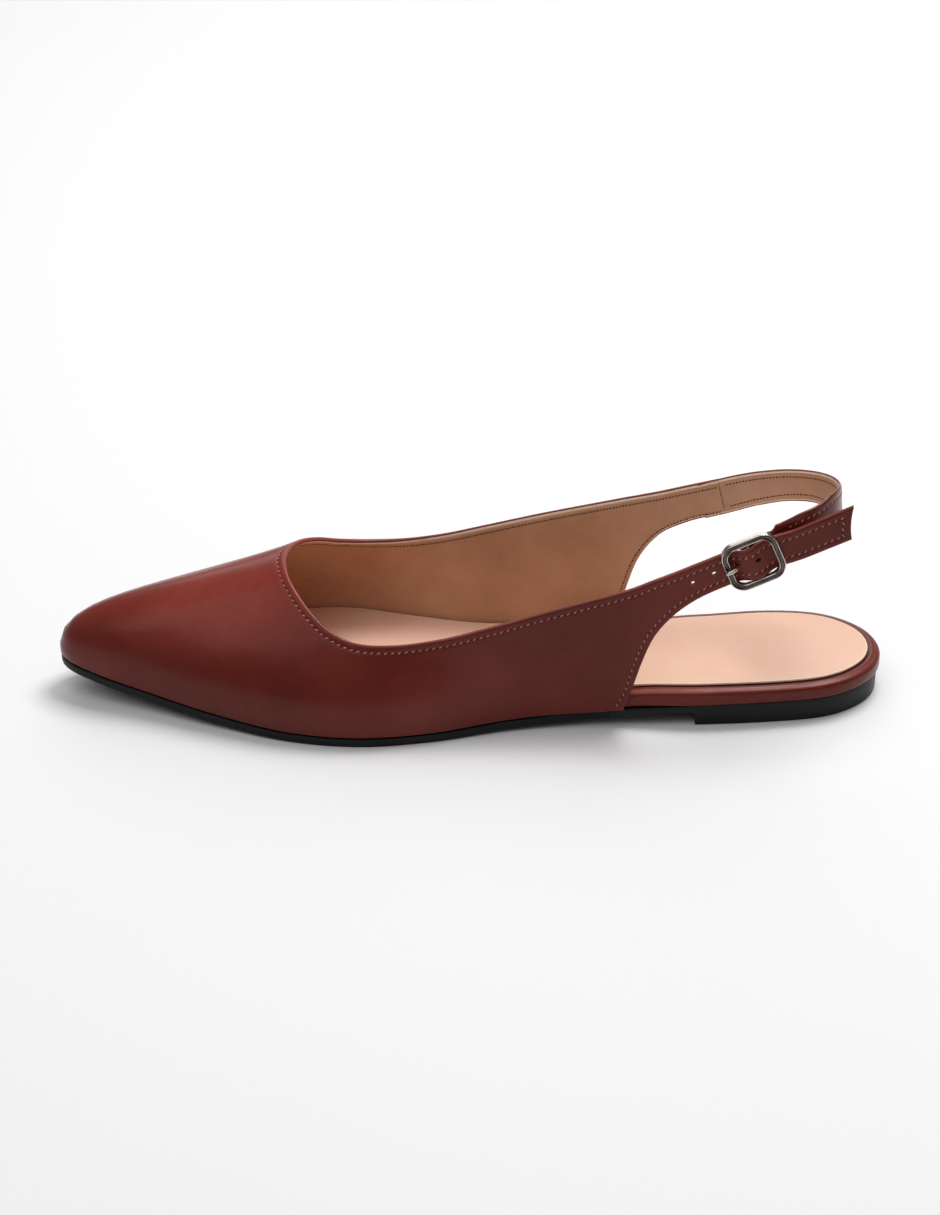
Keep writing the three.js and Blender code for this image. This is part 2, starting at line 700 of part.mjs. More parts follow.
// A bent wire along points, as thick as its radius all the way
function bentWire(points, radius, steps, sides) {
  const circle = new THREE.Shape().absarc(0, 0, radius, 0, 2 * Math.PI, false);
  const extrudePath = new THREE.CatmullRomCurve3(points);
  return new THREE.ExtrudeGeometry(circle, { extrudePath, steps, curveSegments: sides });
}

// Buckle frame: a rounded ring with bevelled edges, and a centre bar that is set back behind it on
// its own bent ends
const bevel = 0.55;
const centreBarRows = [
  { t: 7.2, lift: -0.8 },
  { t: 6.7, lift: -1.8 },
  { t: 6.0, lift: -2.7 },
  { t: 5.1, lift: -3.0 },
  { t: 2.5, lift: -3.0 },
];

function roundedRectangle(length, height, corner) {
  const shape = new THREE.Shape();
  const [a, b] = [length / 2, height / 2];
  shape.moveTo(-a + corner, -b);
  shape.lineTo(a - corner, -b);
  shape.absarc(a - corner, -b + corner, corner, -Math.PI / 2, 0, false);
  shape.lineTo(a, b - corner);
  shape.absarc(a - corner, b - corner, corner, 0, Math.PI / 2, false);
  shape.lineTo(-a + corner, b);
  shape.absarc(-a + corner, b - corner, corner, Math.PI / 2, Math.PI, false);
  shape.lineTo(-a, -b + corner);
  shape.absarc(-a + corner, -b + corner, corner, Math.PI, Math.PI * 1.5, false);
  return shape;
}

function makeBuckleFrame() {
  const section = [
    { inset: 0, lift: -frameThickness / 2 },
    { inset: 0, lift: frameThickness / 2 - bevel },
    { inset: bevel, lift: frameThickness / 2 },
    { inset: barWidth - bevel, lift: frameThickness / 2 },
    { inset: barWidth, lift: frameThickness / 2 - bevel },
    { inset: barWidth, lift: -frameThickness / 2 },
  ];
  const loops = section.map(({ inset, lift }) => {
    const [length, height] = [frameLength - 2 * inset, frameHeight - 2 * inset];
    const points = roundedRectangle(length, height, frameCorner - inset).getPoints(5);
    return points.slice(0, -1).map((p) => onStrap(p.x, p.y, lift));
  });
  const upper = centreBarRows.map((row) => onStrap(0, row.t, row.lift));
  const lower = centreBarRows.map((row) => onStrap(0, -row.t, row.lift)).reverse();
  const bar = bentWire([...upper, ...lower], centreBarRadius, 18, 6);
  return toGeometry(toSolid(loftRound(loops)).add(toSolid(bar)));
}

// A closed ring solid: the loops run round the hole, and each is joined to the next and the last to
// the first
function loftRound(loops) {
  const count = loops[0].length;
  const positions = loops.flat().flatMap((p) => [p.x, p.y, p.z]);
  const index = [];
  for (let i = 0; i < loops.length; i += 1) {
    for (let j = 0; j < count; j += 1) {
      const a = i * count + j;
      const b = i * count + ((j + 1) % count);
      const c = ((i + 1) % loops.length) * count + j;
      const d = ((i + 1) % loops.length) * count + ((j + 1) % count);
      index.push(a, b, d, a, d, c);
    }
  }
  const geometry = new THREE.BufferGeometry();
  geometry.setAttribute("position", new THREE.Float32BufferAttribute(positions, 3));
  geometry.setIndex(index);
  return tidy(geometry);
}

// Prong: its eye turns on the centre bar, and it comes up through the strap's hole on to the frame
const prongRadius = 0.55;
const prongEye = { ring: 1.65, wire: 0.5 };

function makeBuckleProng() {
  const path = [
    { s: -1.5, lift: centreBarDrop },
    { s: -2.8, lift: -3.2 },
    { s: -4.1, lift: -3.5 },
    { s: -5.2, lift: -2.7 },
    { s: -5.7, lift: -1.2 },
    { s: -6.0, lift: 0.4 },
    { s: -6.9, lift: 1.75 },
    { s: -8.6, lift: 1.9 },
  ].map(({ s, lift }) => onStrap(s, holesUp, lift));
  const shaft = bentWire(path, prongRadius, 18, 7);
  const eye = new THREE.TorusGeometry(prongEye.ring, prongEye.wire, 8, 14).rotateX(Math.PI / 2);
  const solid = toSolid(shaft).add(toSolid(eye.applyMatrix4(strapFrame(0, holesUp, centreBarDrop))));
  return toGeometry(solid);
}

const parts = [
  { name: "outsole", make: makeOutsole, colour: 0x151517, roughness: 0.5, metalness: 0 },
  { name: "footbed", make: makeFootbed, colour: 0x6b2f26, roughness: 0.4, metalness: 0 },
  { name: "insole", make: makeInsole, colour: 0xe6b998, roughness: 0.6, metalness: 0 },
  { name: "upper", make: makeUpper, colour: 0x6b2f26, roughness: 0.4, metalness: 0 },
  { name: "sling_strap", make: makeSlingStrap, colour: 0x63291f, roughness: 0.4, metalness: 0 },
  { name: "buckle_frame", make: makeBuckleFrame, colour: 0x8d8880, roughness: 0.3, metalness: 1 },
  { name: "buckle_prong", make: makeBuckleProng, colour: 0x9a958c, roughness: 0.3, metalness: 1 },
];

const shoe = new THREE.Group();
for (const { name, make, colour, roughness, metalness } of parts) {
  const material = new THREE.MeshStandardMaterial({ color: colour, roughness, metalness });
  const mesh = new THREE.Mesh(make(), material);
  mesh.name = name;
  shoe.add(mesh);
}

export default shoe;
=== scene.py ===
import math

import bmesh
import bpy
from mathutils import Matrix, Vector
from mathutils.bvhtree import BVHTree
from mathutils.kdtree import KDTree


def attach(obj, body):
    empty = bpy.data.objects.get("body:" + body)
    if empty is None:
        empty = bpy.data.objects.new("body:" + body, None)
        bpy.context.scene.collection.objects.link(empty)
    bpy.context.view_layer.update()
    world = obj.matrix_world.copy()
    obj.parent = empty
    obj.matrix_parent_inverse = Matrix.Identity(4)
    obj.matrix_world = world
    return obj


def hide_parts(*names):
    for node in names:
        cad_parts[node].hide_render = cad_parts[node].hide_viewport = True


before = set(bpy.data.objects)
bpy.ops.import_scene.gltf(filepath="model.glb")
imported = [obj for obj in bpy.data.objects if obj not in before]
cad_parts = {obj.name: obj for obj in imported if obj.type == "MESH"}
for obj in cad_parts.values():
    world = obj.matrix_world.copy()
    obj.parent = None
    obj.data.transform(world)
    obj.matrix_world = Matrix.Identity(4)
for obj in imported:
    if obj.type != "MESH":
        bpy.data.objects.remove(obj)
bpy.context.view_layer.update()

# Outsole
# One black rubber moulding: a 2.9 mm sheet sole with toe spring and a low heel block whose front is
# straight. It is cemented under the lasted upper, so only its satin side and its underside show.
MM = 0.001
HALF_SOLE = 127.4
TOE_REACH = 0.7
SOLE_THICK = 2.9
TOE_SPRING = 8.4
HEEL_BREAST = -69.0
BREAST_LEAN = 0.8
SIDE_IN = 0.9
LOW_ROUND = 0.45
TOP_ROUND = 0.35


def table(columns, *rows):
    return [dict(zip(columns.split(), row)) for row in rows]


def smooth(rows, along, column, at):
    """A smooth curve through one column of a table, over another column."""
    last = len(rows) - 1
    i = 0
    while i < last - 1 and at > rows[i + 1][along]:
        i += 1

    def slope(k):
        return (rows[k + 1][column] - rows[k][column]) / (rows[k + 1][along] - rows[k][along])

    def tangent(k):
        if k == 0:
            return slope(0)
        if k == last:
            return slope(last - 1)
        before = rows[k][along] - rows[k - 1][along]
        after = rows[k + 1][along] - rows[k][along]
        return (slope(k - 1) * after + slope(k) * before) / (before + after)

    span = rows[i + 1][along] - rows[i][along]
    t = (at - rows[i][along]) / span
    start = rows[i][column] * ((1 + 2 * t) * (1 - t) ** 2) + tangent(i) * (span * t * (1 - t) ** 2)
    end = rows[i + 1][column] * (t * t * (3 - 2 * t)) - tangent(i + 1) * (span * t * t * (1 - t))
    return start + end


def ease(value, start, end):
    t = min(max((value - start) / (end - start), 0.0), 1.0)
    return t * t * (3 - 2 * t)


def mix(a, b, share):
    return a + (b - a) * share


# Half widths round the sole: turn 0 is the back of the heel, 180 the toe, and plus is the outer side
OUTLINE = table(
    "turn side",
    (0, 0), (15, 12.7), (30, 22.1), (45, 25.7), (60, 27.2), (75, 28.0), (85, 30.8), (95, 36.4),
    (105, 39.3), (115, 36.6), (127, 28.4), (141, 18.4), (156, 11.0), (168, 5.8), (180, 0),
    (192, -5.8), (204, -11.2), (219, -19.6), (233, -30.6), (244, -38.0), (252, -39.3), (262, -33.0),
    (270, -27.0), (280, -22.8), (293, -20.4), (305, -21.0), (317, -23.4), (330, -21.6), (345, -12.7),
)
OUTLINE = (
    [dict(row, turn=row["turn"] - 360) for row in OUTLINE[-2:]]
    + OUTLINE
    + [dict(row, turn=row["turn"] + 360) for row in OUTLINE[:3]]
)
WAIST = table(
    "along up",
    (-126.7, 4.6), (-69, 4.1), (-46, 3.1), (-22, 1.7), (-2, 0.6), (14, 0), (30, 0), (46, 0),
    (66, 0.7), (84, 2.2), (104, 4.6), (126.7, TOE_SPRING),
)


def along(turn):
    turned = math.cos(math.radians(turn))
    return -HALF_SOLE * turned + TOE_REACH * ((1 - turned) / 2) ** 4


def turn_at(x):
    return math.degrees(math.acos(max(-1.0, min(1.0, -x / HALF_SOLE))))


def outline(turn):
    return Vector((along(turn), smooth(OUTLINE, "turn", "side", turn), 0))


def outline_out(turn):
    run = (outline(turn + 0.5) - outline(turn - 0.5)).normalized()
    return Vector((-run.y, run.x, 0))


def edge(turn, z, outset=0.0):
    point = outline(turn) + outline_out(turn) * outset
    point.z = z
    return point


def underside(x):
    return max(0.0, smooth(WAIST, "along", "up", x))


def feather(x):
    return underside(x) + SOLE_THICK


def skin(name, stations, finish_of_row, lengths=None):
    """A closed skin through stations of points: a grid laid out along them, wrapped and welded."""
    columns = len(stations) - 1
    rows = len(stations[0]) - 1
    bm = bmesh.new()
    bmesh.ops.create_grid(bm, x_segments=columns, y_segments=rows, size=0.5)
    spot = {v: (round((v.co.x + 0.5) * columns), round((v.co.y + 0.5) * rows)) for v in bm.verts}
    chart = bm.loops.layers.uv.new("UVMap")
    for face in bm.faces:
        face.smooth = True
        face.material_index = finish_of_row(min(spot[v][1] for v in face.verts))
        for loop in face.loops:
            i, j = spot[loop.vert]
            loop[chart].uv = (lengths[i] * MM if lengths else i / columns, j / rows)
    for vert, (i, j) in spot.items():
        vert.co = stations[i][j] * MM
    bmesh.ops.remove_doubles(bm, verts=bm.verts, dist=2e-6)
    bmesh.ops.dissolve_degenerate(bm, dist=1e-7, edges=bm.edges)
    open_edges = [e for e in bm.edges if e.is_boundary]
    bmesh.ops.holes_fill(bm, edges=open_edges, sides=0)
    bmesh.ops.recalc_face_normals(bm, faces=bm.faces)
    for e in bm.edges:
        e.smooth = e.calc_face_angle(0) < math.radians(40)
    mesh = bpy.data.meshes.new(name)
    bm.to_mesh(mesh)
    bm.free()
    piece = bpy.data.objects.new(name, mesh)
    bpy.context.scene.collection.objects.link(piece)
    return piece


def dress(piece, materials, slot, *nodes):
    for material in materials:
        piece.data.materials.append(material)
    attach(piece, "root")
    if nodes:
        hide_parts(*nodes)


def plate(turn, bottom, side_rows, top):
    """Half a section of a plate: from its middle line underneath, round its edge, to its middle on top."""
    def across(row, shares):
        rim = edge(turn, row[1], row[0])
        far = edge(360 - turn, row[1], row[0])
        centre = (rim + far) / 2
        points = []
        for share in shares:
            point = centre.lerp(rim, share)
            point.z = row[1] - row[2](share)
            points.append(point)
        return points

    return (
        across(bottom, (0, 0.3, 0.6, 0.85))
        + [edge(turn, z, outset) for outset, z in side_rows]
        + across(top, (0.97, 0.85, 0.6, 0.3, 0))
    )


def flat(share):
    return 0.0


class Paint:
    """A node material, built up in the order that its finish is described."""

    def __init__(self, name, colour, roughness, metallic=0.0):
        self.material = bpy.data.materials.new(name)
        self.material.use_nodes = True
        self.nodes = self.material.node_tree.nodes
        self.links = self.material.node_tree.links
        self.shader = self.nodes["Principled BSDF"]
        self.shader.inputs["Base Color"].default_value = (*colour, 1)
        self.shader.inputs["Roughness"].default_value = roughness
        self.shader.inputs["Metallic"].default_value = metallic
        self.coordinates = self.nodes.new("ShaderNodeTexCoord")
        self.relief = None

    def noise(self, scale, detail=3.0, rough=0.5, stretch=(1, 1, 1)):
        mapping = self.nodes.new("ShaderNodeMapping")
        mapping.inputs["Scale"].default_value = stretch
        node = self.nodes.new("ShaderNodeTexNoise")
        node.inputs["Scale"].default_value = scale
        node.inputs["Detail"].default_value = detail
        node.inputs["Roughness"].default_value = rough
        self.links.new(self.coordinates.outputs["Object"], mapping.inputs["Vector"])
        self.links.new(mapping.outputs["Vector"], node.inputs["Vector"])
        return node.outputs["Fac"]

    def cells(self, scale):
        node = self.nodes.new("ShaderNodeTexVoronoi")
        node.inputs["Scale"].default_value = scale
        self.links.new(self.coordinates.outputs["Object"], node.inputs["Vector"])
        return node.outputs["Distance"]

    def ramp(self, factor, *stops):
        node = self.nodes.new("ShaderNodeValToRGB")
        for k, (place, colour) in enumerate(stops):
            stop = node.color_ramp.elements[k] if k < 2 else node.color_ramp.elements.new(place)
            stop.position = place
            stop.color = (*colour, 1)
        self.links.new(factor, node.inputs["Fac"])
        return node.outputs["Color"]

    def colour(self, factor, *stops):
        self.links.new(self.ramp(factor, *stops), self.shader.inputs["Base Color"])

    def brighten(self, colour, gain, **spans):
        """Multiply a colour by a gain that grows along each named axis, from one place to another."""
        axes = self.nodes.new("ShaderNodeSeparateXYZ")
        self.links.new(self.coordinates.outputs["Object"], axes.inputs["Vector"])
        share = None
        for axis, (start, end) in spans.items():
            span = self.nodes.new("ShaderNodeMapRange")
            span.interpolation_type = "SMOOTHSTEP"
            span.inputs["From Min"].default_value = start
            span.inputs["From Max"].default_value = end
            self.links.new(axes.outputs[axis.upper()], span.inputs["Value"])
            if share:
                both = self.nodes.new("ShaderNodeMath")
                both.operation = "MULTIPLY"
                self.links.new(share, both.inputs[0])
                self.links.new(span.outputs["Result"], both.inputs[1])
                share = both.outputs["Value"]
            else:
                share = span.outputs["Result"]
        mixer = self.nodes.new("ShaderNodeMix")
        mixer.data_type = "RGBA"
        mixer.blend_type = "MULTIPLY"
        mixer.clamp_result = False
        self.links.new(share, mixer.inputs[0])
        self.links.new(colour, mixer.inputs[6])
        mixer.inputs[7].default_value = (*gain, 1)
        self.links.new(mixer.outputs[2], self.shader.inputs["Base Color"])

    def gloss(self, factor, low, high):
        node = self.nodes.new("ShaderNodeMapRange")
        node.inputs["To Min"].default_value = low
        node.inputs["To Max"].default_value = high
        self.links.new(factor, node.inputs["Value"])
        self.links.new(node.outputs["Result"], self.shader.inputs["Roughness"])

    def bump(self, factor, depth_mm, strength=1.0):
        node = self.nodes.new("ShaderNodeBump")
        node.inputs["Distance"].default_value = depth_mm * MM
        node.inputs["Strength"].default_value = strength
        self.links.new(factor, node.inputs["Height"])
        if self.relief:
            self.links.new(self.relief, node.inputs["Normal"])
        self.relief = node.outputs["Normal"]
        self.links.new(self.relief, self.shader.inputs["Normal"])

    def coat(self, weight, roughness, ior=1.5):
        self.shader.inputs["Coat Weight"].default_value = weight
        self.shader.inputs["Coat IOR"].default_value = ior
        self.shader.inputs["Coat Roughness"].default_value = roughness

    def sheen_of(self, level, tint):
        self.shader.inputs["Specular IOR Level"].default_value = level
        self.shader.inputs["Specular Tint"].default_value = (*tint, 1)


SOLE_BLACK = (0.0040, 0.0040, 0.0050)
SOLE_WORN = (0.008, 0.008, 0.0095)

rubber = Paint("sole_rubber", SOLE_BLACK, 0.42)
rubber.colour(rubber.noise(90, 4), (0.35, SOLE_BLACK), (0.75, SOLE_WORN))
rubber.gloss(rubber.noise(140, 3), 0.34, 0.52)
rubber.bump(rubber.noise(1, 2, 0.4, stretch=(20, 20, 1500)), 0.10)
rubber.sheen_of(0.22, (1, 1, 1))
rubber.bump(rubber.noise(2600, 2), 0.02)

tread_rubber = Paint("tread_rubber", SOLE_BLACK, 0.6)
tread_rubber.colour(tread_rubber.noise(60, 5), (0.3, SOLE_BLACK), (0.8, SOLE_WORN))
tread_rubber.bump(tread_rubber.cells(420), 0.25)
tread_rubber.bump(tread_rubber.noise(2200, 2), 0.04)


def outsole_section(turn):
    x = along(turn)
    top = feather(x)
    low = 0.0 if x < HEEL_BREAST + BREAST_LEAN / 2 else underside(x)
    side = [
        (-SIDE_IN, low), (-LOW_ROUND, low), (-LOW_ROUND * 0.5, low + 0.06), (-0.08, low + 0.2),
        (0.0, low + LOW_ROUND), (0.1, mix(low, top, 0.4)), (0.15, mix(low, top, 0.7)),
        (0.1, top - TOP_ROUND), (0.0, top - 0.1), (-0.25, top), (-SIDE_IN, top),
    ]
    return plate(turn, (-SIDE_IN, low, flat), side, (-SIDE_IN, top, flat))


# Sections stand every 2 degrees round the sole, and close together on both sides of the heel's breast
SECTION_STEP = 2.0
BREAST_STEP = 0.35
BREAST_CLEAR = 0.4
TREAD_ROWS = 5
breast = turn_at(HEEL_BREAST)
breast_front = turn_at(HEEL_BREAST + BREAST_LEAN)
half_turns = [SECTION_STEP * k for k in range(91)]
half_turns = [t for t in half_turns if not breast - BREAST_CLEAR < t < breast_front + BREAST_CLEAR]
half_turns += [breast - BREAST_STEP, breast, breast_front, breast_front + BREAST_STEP]
half_turns.sort()
sole_turns = half_turns + [360 - t for t in reversed(half_turns[:-1])]
outsole = skin(
    "outsole_moulding",
    [outsole_section(t) for t in sole_turns],
    lambda j: 1 if j < TREAD_ROWS else 0,
)
dress(outsole, [rubber.material, tread_rubber.material], "sole_rubber", "outsole")

# Footbed
# The insole board, covered in the upper's brown leather, which is drawn round its edge and glued
# under it. At the open heel its rounded rim stands proud of the rubber; further on it is inside.
RIM_PROUD = 1.0
RIM_ROUND = 1.5
WALL = 1.7
INSOLE_THICK = 0.8
SEAT_GAP = 0.15
UPPER_PROUD = 0.2
BED = table(
    "along up",
    (-126.7, 13.2), (-100, 13.1), (-55, 12.6), (-32, 10.6), (-9, 8.1), (12, 6.8), (34, 6.2),
    (52, 6.3), (80, 8.2), (104, 11.2), (126.7, 14.4),
)
HEEL_DISH = 1.1


def bed(x):
    return smooth(BED, "along", "up", x)


def swell(x):
    return 1.3 * ease(-x, 15, 40)


def rim_outset(x):
    return mix(RIM_PROUD, swell(x) - (WALL + SEAT_GAP + 0.1), ease(x, -72, -50.5))


def dish(turn):
    folded = min(turn, 360 - turn)
    depth = HEEL_DISH * (1 - ease(along(turn), -70, 0)) * ease(folded, 0, 40)
    return lambda share: depth * (1 - share * share)


def leather(name, dark, middle, light, roughness=(0.32, 0.46)):
    """Smooth finished leather: cloudy dye, light painted over the vamp's top, a fine closed grain, and a
    soft warm shine.
    """
    paint = Paint(name, middle, roughness[0])
    cloudy = paint.ramp(paint.noise(26, 5, 0.6), (0.28, dark), (0.52, middle), (0.78, light))
    # Painted light: the colour is made about twice as light where it is both high up and towards the toe,
    # over the vamp's top.
    paint.brighten(cloudy, (1.9, 2.2, 2.3), z=(0.016, 0.040), x=(0.015, 0.060))
    paint.gloss(paint.noise(60, 4), *roughness)
    paint.bump(paint.noise(55, 3, 0.5), 0.10, 0.6)
    paint.bump(paint.cells(1500), 0.03, 0.7)
    paint.bump(paint.noise(2600, 2), 0.012)
    paint.sheen_of(0.16, (1.0, 0.66, 0.62))
    paint.coat(0.55, 0.22, 1.28)
    return paint


BROWN_DARK = (0.092, 0.0105, 0.0065)
BROWN = (0.128, 0.0160, 0.0102)
BROWN_LIGHT = (0.170, 0.026, 0.0175)
brown = leather("brown_leather", BROWN_DARK, BROWN, BROWN_LIGHT)

# Painted highlight: a paler copy of the same leather on the upward folds of its top edges, also made
# glossier
FOLD_HIGHLIGHT_DARK = (0.15, 0.026, 0.019)
FOLD_HIGHLIGHT = (0.22, 0.046, 0.034)
FOLD_HIGHLIGHT_LIGHT = (0.29, 0.075, 0.058)
fold_highlight = leather("painted_fold_highlight", FOLD_HIGHLIGHT_DARK, FOLD_HIGHLIGHT, FOLD_HIGHLIGHT_LIGHT, (0.20, 0.30))

# The covering is rolled into a soft bead along the rim: distances in from it, and how far it rises
RIM_BEAD = ((0.2, 0.12), (0.5, 0.24), (0.9, 0.34), (1.3, 0.34), (1.7, 0.24), (2.0, 0.1), (2.3, 0.0))


def footbed_section(turn):
    x = along(turn)
    low = feather(x) + SEAT_GAP
    high = bed(x) - INSOLE_THICK - SEAT_GAP
    out = rim_outset(x)
    r = min(RIM_ROUND, (high - low) * 0.45)
    side = [(out - 1.6 * r, low), (out - 0.5 * r, low)]
    for k in range(5):
        angle = math.radians(-80 + 20 * k)
        side.append((out - 0.5 * r * (1 - math.cos(angle)), low + 0.5 * r * (1 + math.sin(angle))))
    for k in range(9):
        angle = math.radians(10 * k)
        side.append((out - r * (1 - math.cos(angle)) - 0.1 * k * r / 8, high - r * (1 - math.sin(angle))))
    puff = ease(-x, 48, 56)
    side += [(out - r - back, high - 0.1 + up * puff) for back, up in RIM_BEAD]
    return plate(turn, (out - 1.6 * r, low, flat), side, (out - 4.2, high - 0.1, dish(turn)))


bed_turns = [1.5 * k for k in range(241)]
# Painted highlight: the rows over the rim's rounded top edge take the pale fold copy, where the edge
# catches the light.
RIM_HIGHLIGHT_ROWS = range(15, 21)
footbed = skin(
    "covered_footbed",
    [footbed_section(t) for t in bed_turns],
    lambda j: 1 if j in RIM_HIGHLIGHT_ROWS else 0,
)
dress(footbed, [brown.material, fold_highlight.material], "upper_leather", "footbed")

# Insole
# The thin peach sock of soft lining leather, cut a little smaller than the footbed and glued on it.
# Its cut edge shows as a paler line all round the heel.
INSOLE_INSET = 4.0
PEACH = (0.85, 0.52, 0.375)
PEACH_DARK = (0.79, 0.465, 0.325)
PEACH_LIGHT = (0.89, 0.59, 0.44)
CREAM = (0.97, 0.78, 0.58)
CREAM_DARK = (0.93, 0.68, 0.50)

peach = Paint("insole_leather", PEACH, 0.55)
peach.colour(peach.noise(18, 5, 0.55), (0.3, PEACH_DARK), (0.5, PEACH), (0.75, PEACH_LIGHT))
peach.gloss(peach.noise(80, 3), 0.48, 0.62)
peach.bump(peach.noise(40, 3), 0.12, 0.5)
peach.bump(peach.cells(1300), 0.03, 0.6)

cut_edge = Paint("cut_edge", CREAM, 0.6)
cut_edge.colour(cut_edge.noise(300, 4), (0.3, CREAM_DARK), (0.6, CREAM))
cut_edge.bump(cut_edge.noise(3000, 3), 0.03)


def insole_section(turn):
    x = along(turn)
    high = bed(x)
    low = high - INSOLE_THICK
    out = rim_outset(x) - mix(INSOLE_INSET, 0.1, ease(x, -50, -30))
    side = [
        (out - 0.6, low), (out - 0.1, low), (out, low + 0.15), (out, high - 0.3),
        (out - 0.06, high - 0.12), (out - 0.2, high - 0.03), (out - 0.45, high), (out - 0.7, high),
    ]
    return plate(turn, (out - 0.6, low, dish(turn)), side, (out - 0.7, high, dish(turn)))


CUT_EDGE_ROWS = range(5, 10)
insole = skin(
    "insole_sock",
    [insole_section(t) for t in bed_turns],
    lambda j: 1 if j in CUT_EDGE_ROWS else 0,
)
dress(insole, [peach.material, cut_edge.material], "insole_leather", "insole")

# Upper
# One lasted wall of smooth brown leather with a tan leather lining, sewn along its edges: the vamp,
# both quarters, the outer quarter's long strap with its punched holes, and the inner one's short stub.
STRAP_WIDTH = 11.0
STRAP_START = -12.5
TIP_END = 32.2
TIP_SKEW = 2.0
TIP_DROOP = 1.3
TIP_TAPER = 0.35
BUCKLE_CENTRE = Vector((-84.4, 25.4, 56.4))
STRAP_RUN = Vector((-0.92, -0.06, 0.39)).normalized()
STRAP_UP = (Vector((0, 0, 1)) - STRAP_RUN * STRAP_RUN.z).normalized()
STRAP_OUT = STRAP_RUN.cross(STRAP_UP).normalized()
FRAME_LENGTH = 17.9
FRAME_ALONG = 0.25
FRAME_HEIGHT = 16.4
FRAME_CORNER = 4.9
BAR_WIDTH = 2.1
FRAME_THICK = 2.0
CENTRE_BAR = 0.8
CENTRE_DROP = -3.0
SLING_THICK = 1.2
RUN_GAP = 0.3
BULGE_REACH = FRAME_LENGTH / 2 - BAR_WIDTH
UNDER_BAR = -FRAME_THICK / 2 - RUN_GAP
FOLD_OVER_BAR = CENTRE_DROP + CENTRE_BAR + RUN_GAP + SLING_THICK / 2
OVER_BAR = FOLD_OVER_BAR + SLING_THICK / 2 + RUN_GAP + WALL


def on_strap(s, t, lift):
    return BUCKLE_CENTRE + STRAP_RUN * s + STRAP_UP * t + STRAP_OUT * lift


def strap_lift(s):
    place = max(-1.0, min(1.0, s / BULGE_REACH))
    return mix(UNDER_BAR, OVER_BAR, (1 + math.cos(math.pi * place)) / 2)


# Ribs of the wall, from its foot up to the topline. Each is a cubic: rise, tuck and lean place its
# lower handle, and reach and sink its upper one. Where two columns are left out, they are a third.
WING = "foot top tuck"
OUTER_WING = table(
    WING,
    ((-68.4, 25.5, 43.4), (-66.2, 25.8, 55.0), 0.2),
    ((-61.2, 26.2, 38.0), (-60.6, 26.4, 52.8), 0.3),
    ((-55.6, 26.9, 31.2), (-56.6, 26.9, 51.4), 0.5),
    ((-51.8, 27.5, 22.0), (-53.4, 27.2, 50.2), 0.7),
    ((-49.0, 27.9, 12.8), (-51.2, 27.4, 49.3), 0.9),
)
BODY = table(
    "turn top rise tuck lean reach sink",
    (68.6, (-49.0, 27.6, 48.5), 0.333, 1.2, 0.20, 0.333, 0.333),
    (80, (-24.0, 28.7, 41.4), 0.36, 1.4, 0.10, 0.30, 0.333),
    (88, (-5.6, 30.2, 36.6), 0.40, 1.6, 0.05, 0.30, 0.333),
    (95, (9.0, 31.6, 33.4), 0.42, 1.8, 0.00, 0.30, 0.333),
    (102, (23.0, 32.0, 31.7), 0.45, 2.0, 0.00, 0.35, 0.30),
    (111, (35.0, 30.6, 31.8), 0.47, 2.0, 0.00, 0.40, 0.25),
    (120, (43.0, 27.0, 34.2), 0.47, 2.0, 0.00, 0.50, 0.25),
    (130, (48.8, 21.8, 37.8), 0.46, 1.8, 0.00, 0.58, 0.32),
    (142, (53.2, 15.4, 41.2), 0.46, 1.8, 0.00, 0.64, 0.39),
    (158, (56.2, 8.4, 43.8), 0.47, 2.4, 0.00, 0.70, 0.415),
    (180, (57.2, 1.6, 45.2), 0.49, 2.7, 0.00, 0.71, 0.425),
    (202, (56.0, -5.2, 45.6), 0.48, 2.5, 0.00, 0.70, 0.425),
    (218, (52.6, -12.0, 44.8), 0.46, 1.8, 0.00, 0.64, 0.40),
    (230, (47.4, -18.0, 42.4), 0.46, 1.8, 0.00, 0.58, 0.32),
    (240, (41.0, -22.6, 39.4), 0.47, 2.0, 0.00, 0.50, 0.27),
    (248, (33.0, -26.4, 37.2), 0.46, 2.0, 0.00, 0.42, 0.27),
    (256, (21.0, -28.6, 36.4), 0.43, 1.9, 0.00, 0.35, 0.30),
    (264, (8.0, -28.8, 38.0), 0.40, 1.8, 0.00, 0.30, 0.333),
    (272, (-6.0, -27.6, 41.8), 0.38, 2.2, 0.10, 0.30, 0.333),
    (280, (-22.0, -26.0, 46.4), 0.36, 2.2, 0.20, 0.333, 0.333),
    (291, (-46.0, -24.2, 52.4), 0.333, 1.6, 0.30, 0.333, 0.333),
)
INNER_WING = table(
    WING,
    ((-47.6, -22.6, 13.0), (-48.6, -24.1, 53.0), 1.0),
    ((-50.2, -23.2, 22.6), (-51.4, -24.0, 53.6), 0.7),
    ((-53.8, -23.5, 32.4), (-55.0, -23.8, 54.4), 0.5),
    ((-59.8, -23.5, 40.2), (-60.0, -23.5, 55.6), 0.3),
    ((-68.6, -23.1, 44.9), (-66.6, -23.1, 57.4), 0.2),
    ((-80.2, -22.6, 48.0), (-77.2, -22.6, 60.1), 0.0),
)


def foot_on_sole(turn):
    x = along(turn)
    return edge(turn, feather(x) + SEAT_GAP, UPPER_PROUD + swell(x))


def rib(foot, top, outward, tuck=0.0, rise=1 / 3, lean=1 / 3, reach=1 / 3, sink=1 / 3):
    across = Vector((top.x - foot.x, top.y - foot.y, 0))
    height = top.z - foot.z
    low = across * lean + outward * tuck + Vector((0, 0, rise * height))
    high = -across * reach - Vector((0, 0, sink * height))
    return {"foot": foot, "low": low, "high": high, "top": top}


